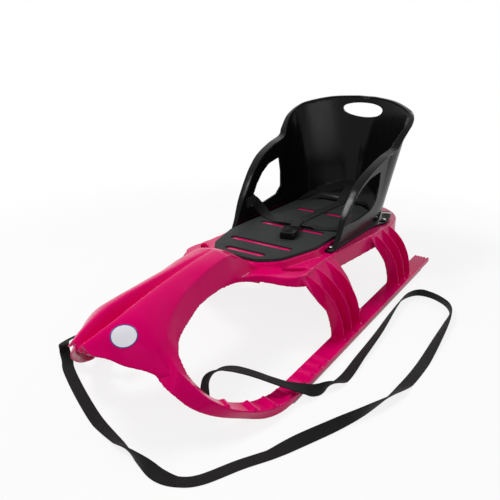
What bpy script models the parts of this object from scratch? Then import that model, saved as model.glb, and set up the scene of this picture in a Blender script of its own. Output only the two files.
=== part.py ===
# Plastic toddler sled with a bucket seat back, in metres, +Z up.
# The nose points along -Y, the floor is at Z = 0 and the sled is symmetric about X = 0.
# Left and right are the rider's, who faces the nose, so left is +X.
import math

import bmesh
import bpy
import numpy as np
from mathutils import Matrix

# Overall sizes
LENGTH = 0.95
REAR_END = LENGTH / 2
NOSE_TIP = -LENGTH / 2
WALL = 0.004
GAP = 0.0003

# Runners and the steel strip under each
RUNNER_OUTSIDE = 0.196
RUNNER_WIDTH = 0.036
RUNNER_TOP = 0.0127
RAIL_WIDTH = 0.022
RAIL_THICKNESS = 0.0018
RAIL_FRONT = -0.215
RAIL_REAR = 0.425
RIVET_RADIUS = 0.003
RIVET_LENGTH = 0.007
RIVETS_PER_RAIL = 5
STEP_COUNT = 7
STEP_PITCH = 0.034
STEP_HEIGHT = 0.0035
STEP_REAR = -0.062

# Deck, which falls slightly to the rear: a raised plateau under the mat and lower sides
DECK_HEIGHT = 0.159
DECK_FALL = 0.0457
SIDE_DROP = 0.012
DECK_SKIRT = 0.034
PLATEAU_MARGIN = 0.004
RIB_DEPTH = 0.020
RIB_THICKNESS = 0.003
RIB_APART = 0.058
GRIP_LENGTH = 0.050
GRIP_WIDTH = 0.016
GRIP_PLACE = (0.0985, -0.0400)

# Seat mat
MAT_THICKNESS = 0.006
MAT_FRONT = -0.080
MAT_REAR = 0.374
MAT_HALF_WIDTH = 0.097
MAT_CORNER = 0.045
SLOT_WIDTH = 0.009

# Back shell
SHELL_WALL = 0.0035
FLANGE_THICKNESS = 0.004
FOOT_THICKNESS = 0.004
SCREW_HEAD_RADIUS = 0.0045
SCREW_HEAD_HEIGHT = 0.0025
SCREW_SHANK_RADIUS = 0.0020
SCREW_CLEARANCE = 0.0005
NUT_RADIUS = 0.0045
NUT_HEIGHT = 0.004

# Harness webbing and its buckle
WEB_WIDTH = 0.022
WEB_THICKNESS = 0.0016
BUCKLE_LENGTH = 0.040
BUCKLE_WIDTH = 0.034
BUCKLE_HEIGHT = 0.015
BUTTON_LENGTH = 0.014
BUTTON_WIDTH = 0.016
BUTTON_TRAVEL = 0.003
TONGUE_WIDTH = 0.020
TONGUE_THICKNESS = 0.0024
TONGUE_DEPTH = 0.020
SLIDE_CLEARANCE = 0.0004

# Towing strap
STRAP_WIDTH = 0.020
STRAP_THICKNESS = 0.0018
STRAP_SCREW_RADIUS = 0.0015
STRAP_SCREW_HEAD_RADIUS = 0.0045
STRAP_SCREW_HEAD = 0.0016
STRAP_SCREW_BITE = 0.0026

MAGENTA = (0.62, 0.0, 0.115, 1.0)
BLACK = (0.012, 0.012, 0.013, 1.0)
CHARCOAL = (0.032, 0.036, 0.035, 1.0)
WEBBING = (0.02, 0.019, 0.02, 1.0)
STEEL = (0.45, 0.44, 0.43, 1.0)


def deck_z(y):
    """Height of the plateau's top at a place along the sled."""
    return DECK_HEIGHT - DECK_FALL * y


def side_z(y):
    """Height of the lower sides of the deck."""
    return deck_z(y) - SIDE_DROP


def smooth(stations, values, at):
    """A smooth curve through the stations: cubic pieces with limited slopes, so nothing overshoots."""
    stations = np.asarray(stations, float)
    values = np.asarray(values, float)
    at = np.clip(np.asarray(at, float), stations[0], stations[-1])
    step = np.diff(stations)
    rise = np.diff(values) / step
    slope = np.zeros(len(stations))
    slope[0] = rise[0]
    slope[-1] = rise[-1]
    same_way = rise[:-1] * rise[1:] > 0
    mean = 2 * rise[:-1] * rise[1:] / np.where(same_way, rise[:-1] + rise[1:], 1)
    slope[1:-1] = np.where(same_way, mean, 0)
    piece = np.clip(np.searchsorted(stations, at, side="right") - 1, 0, len(step) - 1)
    h = step[piece]
    t = (at - stations[piece]) / h
    low = values[piece] * (1 + 2 * t) * (1 - t) ** 2 + slope[piece] * h * t * (1 - t) ** 2
    high = values[piece + 1] * t ** 2 * (3 - 2 * t) - slope[piece + 1] * h * t ** 2 * (1 - t)
    return low + high


def curve_through(points, count):
    """Points spread evenly along a smooth curve through the given points."""
    points = np.asarray(points, float)
    runs = np.linalg.norm(np.diff(points, axis=0), axis=1)
    along = np.concatenate([[0], np.cumsum(runs)])
    padded = np.vstack([2 * points[0] - points[1], points, 2 * points[-1] - points[-2]])
    result = []
    for place in np.linspace(0, along[-1], count):
        k = min(np.searchsorted(along, place, side="right") - 1, len(points) - 2)
        t = (place - along[k]) / (along[k + 1] - along[k])
        before, start, end, after = padded[k:k + 4]
        result.append(0.5 * (2 * start + (end - before) * t
                             + (2 * before - 5 * start + 4 * end - after) * t ** 2
                             + (3 * start - before - 3 * end + after) * t ** 3))
    return np.array(result)


def material(name, colour, roughness, metallic=0.0):
    found = bpy.data.materials.get(name)
    if found:
        return found
    made = bpy.data.materials.new(name)
    made.use_nodes = True
    shader = made.node_tree.nodes["Principled BSDF"]
    shader.inputs["Base Color"].default_value = colour
    shader.inputs["Roughness"].default_value = roughness
    shader.inputs["Metallic"].default_value = metallic
    return made


def link(name, mesh, finish):
    part = bpy.data.objects.new(name, mesh)
    bpy.context.scene.collection.objects.link(part)
    mesh.materials.clear()
    mesh.materials.append(finish)
    return part


def mesh_from(name, vertices, faces):
    """A mesh of triangles with its faces turned outwards."""
    mesh = bpy.data.meshes.new(name)
    mesh.from_pydata([tuple(map(float, v)) for v in vertices], [], faces)
    work = bmesh.new()
    work.from_mesh(mesh)
    bmesh.ops.triangulate(work, faces=work.faces)
    bmesh.ops.recalc_face_normals(work, faces=work.faces)
    work.to_mesh(mesh)
    work.free()
    return mesh


def loft(name, rings):
    """A closed solid through rings of equally many points, capped at both ends."""
    rings = np.asarray(rings, float)
    count, size = rings.shape[:2]
    faces = []
    for i in range(count - 1):
        for j in range(size):
            k = (j + 1) % size
            faces.append((i * size + j, i * size + k, (i + 1) * size + k, (i + 1) * size + j))
    faces.append(tuple(range(size)))
    faces.append(tuple((count - 1) * size + j for j in range(size)))
    return mesh_from(name, rings.reshape(-1, 3), faces)


def prism(name, outline, low, high, place=None):
    """An outline in two coordinates carried from low to high, then placed by a function."""
    place = place or (lambda u, v, w: (u, v, w))
    return loft(name, [[place(u, v, w) for u, v in outline] for w in (low, high)])


def rounded(corners, radius, steps=5):
    """An outline with each corner rounded by an arc of the given radius."""
    result = []
    count = len(corners)
    radii = radius if isinstance(radius, (list, tuple)) else [radius] * count
    for i in range(count):
        here = np.array(corners[i], float)
        back = np.array(corners[i - 1], float) - here
        ahead = np.array(corners[(i + 1) % count], float) - here
        back /= np.linalg.norm(back)
        ahead /= np.linalg.norm(ahead)
        half = math.acos(max(-1, min(1, back @ ahead))) / 2
        if radii[i] <= 0 or half > 1.55:
            result.append(tuple(here))
            continue
        reach = radii[i] / math.tan(half)
        middle = here + (back + ahead) / np.linalg.norm(back + ahead) * radii[i] / math.sin(half)
        start = here + back * reach - middle
        end = here + ahead * reach - middle
        sweep = math.atan2(start[0] * end[1] - start[1] * end[0], start @ end)
        for s in range(steps + 1):
            a = sweep * s / steps
            turned = (start[0] * math.cos(a) - start[1] * math.sin(a),
                      start[0] * math.sin(a) + start[1] * math.cos(a))
            result.append((middle[0] + turned[0], middle[1] + turned[1]))
    return result


def cylinder(name, radius, low, high, x, y, sides=16):
    ring = [(x + radius * math.cos(2 * math.pi * k / sides), y + radius * math.sin(2 * math.pi * k / sides))
            for k in range(sides)]
    return prism(name, ring, low, high)


def combine(target, mesh, operation, solver):
    """Adds a mesh to, or cuts it from, a part with a Boolean."""
    tool = bpy.data.objects.new("tool", mesh)
    bpy.context.scene.collection.objects.link(tool)
    step = target.modifiers.new("step", "BOOLEAN")
    step.operation = operation
    step.solver = solver
    step.object = tool
    bpy.context.view_layer.update()
    result = bpy.data.meshes.new_from_object(target.evaluated_get(bpy.context.evaluated_depsgraph_get()))
    target.modifiers.clear()
    old = target.data
    finish = old.materials[0]
    target.data = result
    result.name = target.name
    result.materials.clear()
    result.materials.append(finish)
    bpy.data.meshes.remove(old)
    bpy.data.objects.remove(tool)
    bpy.data.meshes.remove(mesh)


def add(target, mesh, solver="EXACT"):
    combine(target, mesh, "UNION", solver)


def cut(target, mesh, solver="EXACT"):
    combine(target, mesh, "DIFFERENCE", solver)


def mirrored(mesh):
    """A copy of a mesh on the other side of X = 0."""
    other = mesh.copy()
    work = bmesh.new()
    work.from_mesh(other)
    for vertex in work.verts:
        vertex.co.x = -vertex.co.x
    bmesh.ops.reverse_faces(work, faces=work.faces)
    work.to_mesh(other)
    work.free()
    return other


def both_sides(mesh):
    return [mesh, mirrored(mesh)]


def link_each(name, meshes, finish, degrees=35):
    """Like pieces as an object each, numbered from one."""
    for k, mesh in enumerate(meshes):
        finish_shading(link(f"{name}_{k + 1}", mesh, finish), degrees)


def merge_flat(part):
    """Joins the flat neighbours that Booleans leave, drops stray crumbs and splits into triangles again."""
    work = bmesh.new()
    work.from_mesh(part.data)
    bmesh.ops.remove_doubles(work, verts=work.verts, dist=0.00002)
    bmesh.ops.dissolve_limit(work, angle_limit=math.radians(0.4), verts=work.verts, edges=work.edges)
    bmesh.ops.triangulate(work, faces=work.faces)
    left = set(work.verts)
    while left:
        group = {left.pop()}
        edge = list(group)
        while edge:
            for near in edge.pop().link_edges:
                for vertex in near.verts:
                    if vertex not in group:
                        group.add(vertex)
                        edge.append(vertex)
        left -= group
        if len(group) < 8:
            bmesh.ops.delete(work, geom=list(group), context="VERTS")
    work.to_mesh(part.data)
    work.free()


def finish_shading(part, degrees=35):
    merge_flat(part)
    part.data.shade_smooth()
    part.data.set_sharp_from_angle(angle=math.radians(degrees))


# Hood: stations along Y, each with the half width and depth of the middle gutter, the height of the
# lobes' crest, and the half width and height of the side crease and of the lower edge
HOOD_Y = (-0.082, -0.102, -0.130, -0.160, -0.200, -0.250, -0.290, -0.320, -0.346,
          -0.362, -0.380, -0.397, -0.412, -0.430, -0.445, -0.460, -0.475)
HOOD_GUTTER = (0.003, 0.003, 0.003, 0.004, 0.006, 0.008, 0.010, 0.012, 0.014,
               0.015, 0.0155, 0.016, 0.0155, 0.0135, 0.0115, 0.008, 0.003)
HOOD_DEPTH = (0.0002, 0.0002, 0.0004, 0.001, 0.003, 0.006, 0.010, 0.013, 0.016,
              0.018, 0.020, 0.021, 0.020, 0.017, 0.014, 0.009, 0.003)
HOOD_CREST = (0.157, 0.177, 0.196, 0.205, 0.205, 0.203, 0.201, 0.199, 0.197,
              0.195, 0.193, 0.190, 0.187, 0.183, 0.179, 0.175, 0.171)
HOOD_CREASE_X = (0.046, 0.036, 0.032, 0.032, 0.033, 0.036, 0.042, 0.049, 0.059,
                 0.066, 0.070, 0.063, 0.051, 0.037, 0.028, 0.0185, 0.006)
HOOD_CREASE_Z = (0.156, 0.172, 0.188, 0.200, 0.198, 0.190, 0.1835, 0.175, 0.164,
                 0.157, 0.152, 0.151, 0.154, 0.159, 0.162, 0.165, 0.169)
HOOD_EDGE_X = (0.052, 0.046, 0.045, 0.045, 0.045, 0.048, 0.055, 0.063, 0.075,
               0.088, 0.094, 0.083, 0.067, 0.050, 0.038, 0.025, 0.009)
HOOD_EDGE_Z = (0.118, 0.128, 0.143, 0.152, 0.156, 0.155, 0.1465, 0.140, 0.135,
               0.124, 0.114, 0.115, 0.125, 0.132, 0.144, 0.155, 0.165)


def hood_half(y, lobe_steps=4):
    """Half of the hood's outer section at y, from the gutter's middle to the lower edge."""
    gutter = smooth(HOOD_Y[::-1], HOOD_GUTTER[::-1], y)
    depth = smooth(HOOD_Y[::-1], HOOD_DEPTH[::-1], y)
    crest = smooth(HOOD_Y[::-1], HOOD_CREST[::-1], y)
    crease_x = smooth(HOOD_Y[::-1], HOOD_CREASE_X[::-1], y)
    crease_z = smooth(HOOD_Y[::-1], HOOD_CREASE_Z[::-1], y)
    edge_x = smooth(HOOD_Y[::-1], HOOD_EDGE_X[::-1], y)
    edge_z = smooth(HOOD_Y[::-1], HOOD_EDGE_Z[::-1], y)
    half = [(0.0, crest - depth), (gutter * 0.65, crest - depth * 0.9), (gutter, crest)]
    for s in range(1, lobe_steps + 1):
        t = s / lobe_steps
        half.append((gutter + (crease_x - gutter) * t, crest + (crease_z - crest) * t ** 1.7))
    for t in (0.5, 1.0):
        half.append((crease_x + (edge_x - crease_x) * t, crease_z + (edge_z - crease_z) * t))
    return half


def hood_ring(y):
    """The closed section of the hood shell: its outside, and its inside one wall further in."""
    half = hood_half(y)
    edge = half[-1]
    wall = min(WALL, 0.45 * edge[0], 0.5 * (half[2][1] - edge[1]))
    inner = []
    for i, (x, z) in enumerate(half):
        sink = 1.5 * wall if i < 3 else wall * (1.2 if i < len(half) - 2 else 0.6)
        inner.append((x * (1 - wall / edge[0]), z - sink))
    inner[-1] = (edge[0] - wall, edge[1])
    outer = [(-x, z) for x, z in half[:0:-1]] + half
    inside = [(-x, z) for x, z in inner[:0:-1]] + inner
    return [(x, y, z) for x, z in outer] + [(x, y, z) for x, z in inside[::-1]]


def make_hood():
    places = []
    for front, back in zip(HOOD_Y[1:], HOOD_Y[:-1]):
        places += [back, (front + back) / 2]
    places.append(HOOD_Y[-1])
    return loft("hood", [hood_ring(y) for y in places])


# Ring band: from the hood round the front of the leg opening to the runner. Each row is the front
# crease, the rear crease and the lower front edge of the band
BAND_CREASE = ((0.050, -0.338, 0.160), (0.065, -0.3575, 0.1585), (0.0745, -0.371, 0.1445),
               (0.084, -0.376, 0.133),
               (0.098, -0.3775, 0.1185), (0.113, -0.370, 0.100), (0.129, -0.362, 0.0815),
               (0.143, -0.3505, 0.066), (0.160, -0.328, 0.046), (0.178, -0.297, 0.031),
               (0.188, -0.270, 0.0235), (0.1935, -0.241, 0.018), (0.1955, -0.210, 0.0145),
               (0.196, -0.170, 0.0127))
BAND_REAR = ((0.058, -0.325, 0.136), (0.074, -0.343, 0.1355), (0.085, -0.3555, 0.1275),
             (0.092, -0.358, 0.1185),
             (0.0985, -0.359, 0.1085), (0.104, -0.352, 0.090), (0.112, -0.341, 0.070),
             (0.121, -0.327, 0.052), (0.133, -0.303, 0.035), (0.147, -0.274, 0.0235),
             (0.1535, -0.252, 0.0185), (0.158, -0.230, 0.0155), (0.160, -0.205, 0.0135),
             (0.160, -0.170, 0.0127))
BAND_LOW = ((0.045, -0.372, 0.135), (0.066, -0.402, 0.127), (0.079, -0.4015, 0.112), (0.090, -0.399, 0.099),
            (0.104, -0.394, 0.086), (0.117, -0.381, 0.066), (0.129, -0.360, 0.046),
            (0.142, -0.336, 0.030), (0.158, -0.303, 0.0135), (0.176, -0.278, 0.0045),
            (0.187, -0.258, 0.0025), (0.193, -0.237, 0.0022), (0.1955, -0.208, 0.0022),
            (0.196, -0.170, 0.0022))


def make_band():
    """An angled strip that curls from the solid runner up and inwards to the hood's flank."""
    steps = 27
    crease = curve_through(BAND_CREASE, steps)
    rear = curve_through(BAND_REAR, steps)
    low = curve_through(BAND_LOW, steps)
    bottom = RAIL_THICKNESS + GAP
    rings = []
    for i in range(steps):
        fill = min(1, max(0, (i - 15) / 6))
        back = (rear[i] - crease[i]) / np.linalg.norm(rear[i] - crease[i])
        down = (low[i] - crease[i]) / np.linalg.norm(low[i] - crease[i])
        height = np.linalg.norm(low[i] - crease[i])
        under = rear[i] + down * (WALL + (height - WALL) * fill * 0.97)
        corner = crease[i] + back * WALL + down * WALL
        corner = corner + ((under + low[i]) / 2 - corner) * fill
        lip = low[i] + back * WALL * (1 - 0.5 * fill)
        ring = np.array([crease[i], (crease[i] + rear[i]) / 2, rear[i], under, corner, lip, low[i]])
        ring[:, 2] = np.maximum(ring[:, 2], bottom)
        rings.append(ring)
    inside = RUNNER_OUTSIDE - RUNNER_WIDTH
    middle = RUNNER_OUTSIDE - RUNNER_WIDTH / 2
    for y in (-0.12, -0.02, 0.1, 0.25, REAR_END):
        rings.append([(RUNNER_OUTSIDE, y, RUNNER_TOP), (middle, y, RUNNER_TOP), (inside, y, RUNNER_TOP),
                      (inside, y, bottom), (middle, y, bottom), (RUNNER_OUTSIDE - 0.002, y, bottom),
                      (RUNNER_OUTSIDE, y, bottom)])
    return loft("band", rings)


def deck_outline(inset=0.0):
    """Plan of the deck: narrow at the hood, wide over the legs, rounded at the tail."""
    half = [(0.044, -0.135), (0.051, -0.117), (0.064, -0.103), (0.084, -0.095), (0.105, -0.089),
            (0.121, -0.075), (0.127, -0.052), (0.124, -0.020), (0.122, 0.040), (0.126, 0.100),
            (0.133, 0.180), (0.139, 0.260), (0.141, 0.330), (0.134, 0.385), (0.110, 0.430),
            (0.075, 0.460), (0.035, 0.472)]
    moved = []
    for i, (x, y) in enumerate(half):
        before = np.array(half[i - 1]) if i else np.array((x, y - 0.01))
        after = np.array(half[i + 1]) if i + 1 < len(half) else np.array((x - 0.01, y))
        along = (after - before) / np.linalg.norm(after - before)
        moved.append((x - inset * along[1], y + inset * along[0]))
    return moved + [(-x, y) for x, y in moved[::-1]]


def tilted(drop=0.0):
    """Places an outline so that w = 0 lies on the plateau's plane, which falls to the rear."""
    return lambda u, v, w: (u, v, deck_z(v) + w - drop)


def plateau_outline(margin=0.0):
    """Plan of the mat, or of the plateau round it when a margin is given."""
    half = [(0.050, MAT_FRONT), (0.080, -0.050), (MAT_HALF_WIDTH, 0.050),
            (MAT_HALF_WIDTH, MAT_REAR - MAT_CORNER),
            (MAT_HALF_WIDTH - MAT_CORNER, MAT_REAR)]
    moved = []
    middle = 0.5 * (MAT_FRONT + MAT_REAR)
    for x, y in half:
        shift = margin if y > middle else -margin
        moved.append((x + margin, y + shift))
    corners = moved + [(-x, y) for x, y in moved[::-1]]
    radii = [0.030, 0.060, 0.080, 0.020, 0.020]
    return rounded(corners, radii + radii[::-1], 4)


def make_ribs():
    """Ribs under the deck: two along it and six across."""
    half = RIB_THICKNESS / 2
    ribs = []
    for x in (-RIB_APART, RIB_APART):
        for rear, top in ((MAT_REAR - MAT_CORNER, -WALL + 0.001), (0.445, -SIDE_DROP - WALL + 0.0012)):
            outline = [(x - half, -0.062), (x + half, -0.062), (x + half, rear), (x - half, rear)]
            ribs.append(prism("rib", outline, -SIDE_DROP - RIB_DEPTH, top, tilted()))
    for y in (-0.030, 0.045, 0.120, 0.200, 0.275, 0.350):
        reach = 0.072 if y < 0 else 0.118
        outline = [(-reach, y - half), (reach, y - half), (reach, y + half), (-reach, y + half)]
        ribs.append(prism("rib", outline, -SIDE_DROP - RIB_DEPTH + 0.0031, -SIDE_DROP - WALL + 0.0017,
                          tilted()))
    return ribs


# Lower edge of the deck's front wall over the leg opening, in Y and Z
FRONT_ARCH = ((-0.16, 0.05), (-0.16, 0.137), (-0.12, 0.135), (-0.088, 0.131), (-0.066, 0.123),
              (-0.050, 0.108),
              (-0.040, 0.05))


def make_deck():
    """The deck's shell: plateau, lower sides, skirt all round, open below."""
    deck = link("sled_body", prism("deck", deck_outline(), -SIDE_DROP - DECK_SKIRT, -SIDE_DROP, tilted()),
                MATERIALS["body"])
    add(deck, prism("plateau", plateau_outline(PLATEAU_MARGIN), -SIDE_DROP - 0.002, 0.0, tilted()))
    cut(deck, prism("hollow", deck_outline(WALL), -SIDE_DROP - DECK_SKIRT - 0.01, -SIDE_DROP - WALL,
                    tilted()))
    cut(deck, prism("hollow", plateau_outline(PLATEAU_MARGIN - WALL), -SIDE_DROP - 0.01, -WALL, tilted()))
    for rib in make_ribs():
        add(deck, rib)
    cut(deck, prism("arch", FRONT_ARCH, -0.3, 0.3, lambda u, v, w: (w, u, v)))
    return deck


# Legs: heights above the runner's sole at the middle of the sled, with the wall's place across and its
# front and rear edges, then the feet and heads of the three fins
LEG_Z = (0.008, 0.030, 0.065, 0.100, 0.125, 0.1445)
FRONT_LEG = {"x": (0.1625, 0.1610, 0.1570, 0.1490, 0.1370, 0.1200),
             "front": (-0.006, -0.003, -0.018, -0.048, -0.062, -0.066),
             "rear": (0.134, 0.112, 0.098, 0.084, 0.074, 0.070),
             "fins": ((-0.003, -0.050), (0.032, -0.008), (0.071, 0.036))}
REAR_LEG = {"x": (0.1625, 0.1610, 0.1580, 0.1530, 0.1460, 0.1370),
            "front": (0.279, 0.284, 0.270, 0.245, 0.226, 0.220),
            "rear": (0.434, 0.410, 0.384, 0.357, 0.340, 0.334),
            "fins": ((0.285, 0.240), (0.322, 0.282), (0.358, 0.322))}
FIN_Z = (0.008, 0.030, 0.060, 0.090, 0.115, 0.134, 0.150)
FIN_BOW = (0.0255, 0.0270, 0.0270, 0.0240, 0.0190, 0.0120, 0.0030)
FIN_THICKNESS = 0.0045


def leg_sink(y, z):
    """How much lower a leg's head is towards the rear, in step with the deck."""
    return DECK_FALL * y * max(0.0, (z - LEG_Z[0]) / (LEG_Z[-1] - LEG_Z[0]))


def make_leg(leg):
    """One leg: a wall that widens towards the runner, with three bowed fins on its outer face."""
    rings = []
    for z in np.linspace(LEG_Z[0], LEG_Z[-1], 10):
        x = smooth(LEG_Z, leg["x"], z)
        front = smooth(LEG_Z, leg["front"], z)
        rear = smooth(LEG_Z, leg["rear"], z)
        rings.append([(x - WALL / 2, front, z - leg_sink(front, z)),
                      (x + WALL / 2, front, z - leg_sink(front, z)),
                      (x + WALL / 2, rear, z - leg_sink(rear, z)),
                      (x - WALL / 2, rear, z - leg_sink(rear, z))])
    solids = [loft("wall", rings)]
    for foot, head in leg["fins"]:
        rings = []
        for z in np.linspace(FIN_Z[0], LEG_Z[-1] - 0.001, 11):
            rise = (z - FIN_Z[0]) / (FIN_Z[-1] - FIN_Z[0])
            y = foot + (head - foot) * rise ** 1.3
            inside = smooth(LEG_Z, leg["x"], z) - WALL / 4
            outside = inside + smooth(FIN_Z, FIN_BOW, z)
            low = z - leg_sink(y, z)
            rings.append([(inside, y - FIN_THICKNESS / 2, low), (outside, y - FIN_THICKNESS / 2, low),
                          (outside, y + FIN_THICKNESS / 2, low), (inside, y + FIN_THICKNESS / 2, low)])
        solids.append(loft("fin", rings))
    return solids


def make_steps():
    """Foot-rest ridges across the front of a runner, like small waves."""
    steps = []
    inside = RUNNER_OUTSIDE - RUNNER_WIDTH + 0.002
    for k in range(STEP_COUNT):
        y = STEP_REAR - k * STEP_PITCH
        if y < -0.19:
            break
        outline = [(y - 0.016, -0.004), (y - 0.012, 0.0), (y - 0.002, STEP_HEIGHT), (y + 0.003, 0.0),
                   (y + 0.003, -0.004)]
        steps.append(prism("step", outline, inside, RUNNER_OUTSIDE - 0.003,
                           lambda u, v, w: (w, u, RUNNER_TOP + v)))
    return steps


def grip_outline():
    """Lens-shaped hand slot between the plateau's corner and the front bar, turned towards the leg."""
    half = GRIP_LENGTH / 2
    outline = []
    for k in range(12):
        a = math.pi * k / 12
        outline.append((-half * math.cos(a), -GRIP_WIDTH * 0.62 * math.sin(a)))
    for k in range(12):
        a = math.pi * k / 12
        outline.append((half * math.cos(a), GRIP_WIDTH * 0.38 * math.sin(a)))
    turn = math.radians(42)
    return [(GRIP_PLACE[0] + x * math.cos(turn) - y * math.sin(turn),
             GRIP_PLACE[1] + x * math.sin(turn) + y * math.cos(turn)) for x, y in outline]


def make_body():
    body = make_deck()
    add(body, make_hood())
    for mesh in both_sides(make_band()):
        add(body, mesh)
    for leg in (FRONT_LEG, REAR_LEG):
        for solid in make_leg(leg):
            for mesh in both_sides(solid):
                add(body, mesh)
    for step in make_steps():
        for mesh in both_sides(step):
            add(body, mesh)
    for mesh in both_sides(prism("grip", grip_outline(), -0.08, 0.03, tilted())):
        cut(body, mesh)
    for outline in slot_outlines(SLOT_WIDTH - 2 * CROSS_RIB_GAP):
        add(body, prism("cross_rib", outline, -0.002, MAT_THICKNESS - 0.001, tilted()))
    for x, y in screw_places():
        cut(body, screw_cylinder("hole", SCREW_SHANK_RADIUS + SCREW_CLEARANCE, -0.012, 0.01, x, y))
    for x, y in rivet_places():
        for side in (1, -1):
            cut(body, cylinder("hole", RIVET_RADIUS + GAP, -0.01, RIVET_LENGTH + 0.0008, side * x, y))
    for side in (1, -1):
        cut(body, strap_pin("hole", side, STRAP_SCREW_RADIUS + SCREW_CLEARANCE, -0.012, -WALL
                            + STRAP_SCREW_BITE + GAP))
    for k in range(4):
        x = RUNNER_OUTSIDE - RUNNER_WIDTH * (k + 1) / 5
        outline = [(x - 0.0016, REAR_END - 0.022), (x + 0.0016, REAR_END - 0.022),
                   (x + 0.0016, REAR_END + 0.01), (x - 0.0016, REAR_END + 0.01)]
        for mesh in both_sides(prism("groove", outline, RUNNER_TOP - 0.004, RUNNER_TOP + 0.01)):
            cut(body, mesh)
    finish_shading(body)
    return body


def make_mat():
    """The seat mat, with a slot over each of the cross ribs moulded on the plateau."""
    mat = link("seat_mat", prism("mat", plateau_outline(), GAP, MAT_THICKNESS, tilted()), MATERIALS["mat"])
    for outline in slot_outlines(SLOT_WIDTH):
        cut(mat, prism("slot", outline, -0.01, MAT_THICKNESS + 0.01, tilted()))
    finish_shading(mat)
    return mat


# Cross ribs on the plateau that show through the mat's slots: middle x, y and half length of each
CROSS_RIBS = ((0.0, -0.050, 0.041), (0.0, 0.006, 0.066), (-0.0405, 0.130, 0.0325), (0.0405, 0.130, 0.0325),
              (-0.036, 0.270, 0.026), (0.036, 0.270, 0.026))
CROSS_RIB_GAP = 0.0008


def slot_outlines(width):
    """Round-ended outlines of the slots, or of the ribs in them when the width is smaller."""
    outlines = []
    for x, y, half in CROSS_RIBS:
        outline = []
        for k in range(9):
            a = -math.pi / 2 + math.pi * k / 8
            outline.append((x + half - SLOT_WIDTH / 2 + width / 2 * math.cos(a), y + width / 2
                            * math.sin(a)))
        for k in range(9):
            a = math.pi / 2 + math.pi * k / 8
            outline.append((x - half + SLOT_WIDTH / 2 + width / 2 * math.cos(a), y + width / 2
                            * math.sin(a)))
        outlines.append(outline)
    return outlines


# Back shell: the free edge of one half from the front foot over the arm and shoulder to the middle of
# the back, and the foot of the same half on the deck
SHELL_EDGE = ((0.1220, 0.082, 0.1475), (0.1235, 0.094, 0.165), (0.1245, 0.101, 0.180),
              (0.126, 0.112, 0.200),
              (0.128, 0.128, 0.220), (0.130, 0.146, 0.240), (0.133, 0.169, 0.260), (0.139, 0.210, 0.281),
              (0.143, 0.265, 0.296), (0.146, 0.319, 0.305), (0.149, 0.334, 0.318), (0.153, 0.362, 0.339),
              (0.153, 0.384, 0.350), (0.147, 0.408, 0.361), (0.131, 0.430, 0.371), (0.083, 0.466, 0.382),
              (0.028, 0.492, 0.385), (0.0, 0.495, 0.385))
SHELL_TURN = (0, 0, 0, 0, 0, 0, 0, 0, 2, 6, 12, 25, 38, 52, 64, 75, 86, 90)
SHELL_FLANGE = (0.008, 0.009, 0.010, 0.012, 0.014, 0.015, 0.016, 0.017, 0.017, 0.016, 0.015, 0.013,
                0.012, 0.011, 0.010, 0.009, 0.008, 0.008)
SHELL_FOOT = ((0.1128, 0.084), (0.1128, 0.096), (0.1128, 0.104), (0.1128, 0.116), (0.1128, 0.132),
              (0.1128, 0.150),
              (0.1128, 0.172), (0.1128, 0.212), (0.1128, 0.258), (0.1126, 0.294), (0.1120, 0.306),
              (0.1105, 0.324),
              (0.1060, 0.345), (0.0960, 0.366), (0.0850, 0.380), (0.0560, 0.410), (0.0200, 0.435),
              (0.0, 0.440))
WINDOW = ((0.141, 0.181), (0.158, 0.207), (0.173, 0.225), (0.200, 0.244), (0.233, 0.257), (0.284, 0.262),
          (0.288, 0.228), (0.284, 0.194), (0.260, 0.180), (0.205, 0.176))
FOOT_OUTER = ((0.1160, 0.072), (0.1170, 0.120), (0.1200, 0.200), (0.1280, 0.280), (0.1320, 0.330),
              (0.1260, 0.375), (0.1060, 0.418), (0.0760, 0.443), (0.0340, 0.459))
FOOT_MARGIN = 0.0010
LEDGE_FRONT_Z = 0.164
LEDGE_SLOPE = 0.15
CROTCH_SLOT_Y = 0.4145
CROTCH_SLOT_HALF = 0.0040
SHELL_STATIONS = 30


def foot_inner():
    """The inner line of the foot on one side, just clear of the plateau's edge."""
    side = MAT_HALF_WIDTH + PLATEAU_MARGIN + FOOT_MARGIN
    rear = MAT_REAR + PLATEAU_MARGIN + FOOT_MARGIN
    cut_back = MAT_CORNER
    return [(side, FOOT_OUTER[0][1]), (side, rear - cut_back), (side - cut_back, rear)]


def shell_curves(count):
    """Edge, outward direction, flange width and foot of the back shell at even steps along its edge."""
    edge = curve_through(SHELL_EDGE, count)
    along = np.concatenate([[0], np.cumsum(np.linalg.norm(np.diff(np.array(SHELL_EDGE), axis=0), axis=1))])
    place = np.linspace(0, along[-1], count)
    turn = np.radians(smooth(along, SHELL_TURN, place))
    flange = smooth(along, SHELL_FLANGE, place)
    foot = np.stack([smooth(along, [p[0] for p in SHELL_FOOT], place),
                     smooth(along, [p[1] for p in SHELL_FOOT], place)], axis=1)
    outward = np.stack([np.cos(turn), np.sin(turn), np.zeros(count)], axis=1)
    return edge, outward, flange, foot


def wall_point(edge, outward, flange, foot, share):
    """The middle of the wall between its foot (share 0) and its edge (share 1)."""
    low = np.array([foot[0], foot[1], side_z(foot[1]) + GAP + 0.001])
    high = edge - outward * flange
    return low + (high - low) * share


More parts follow.
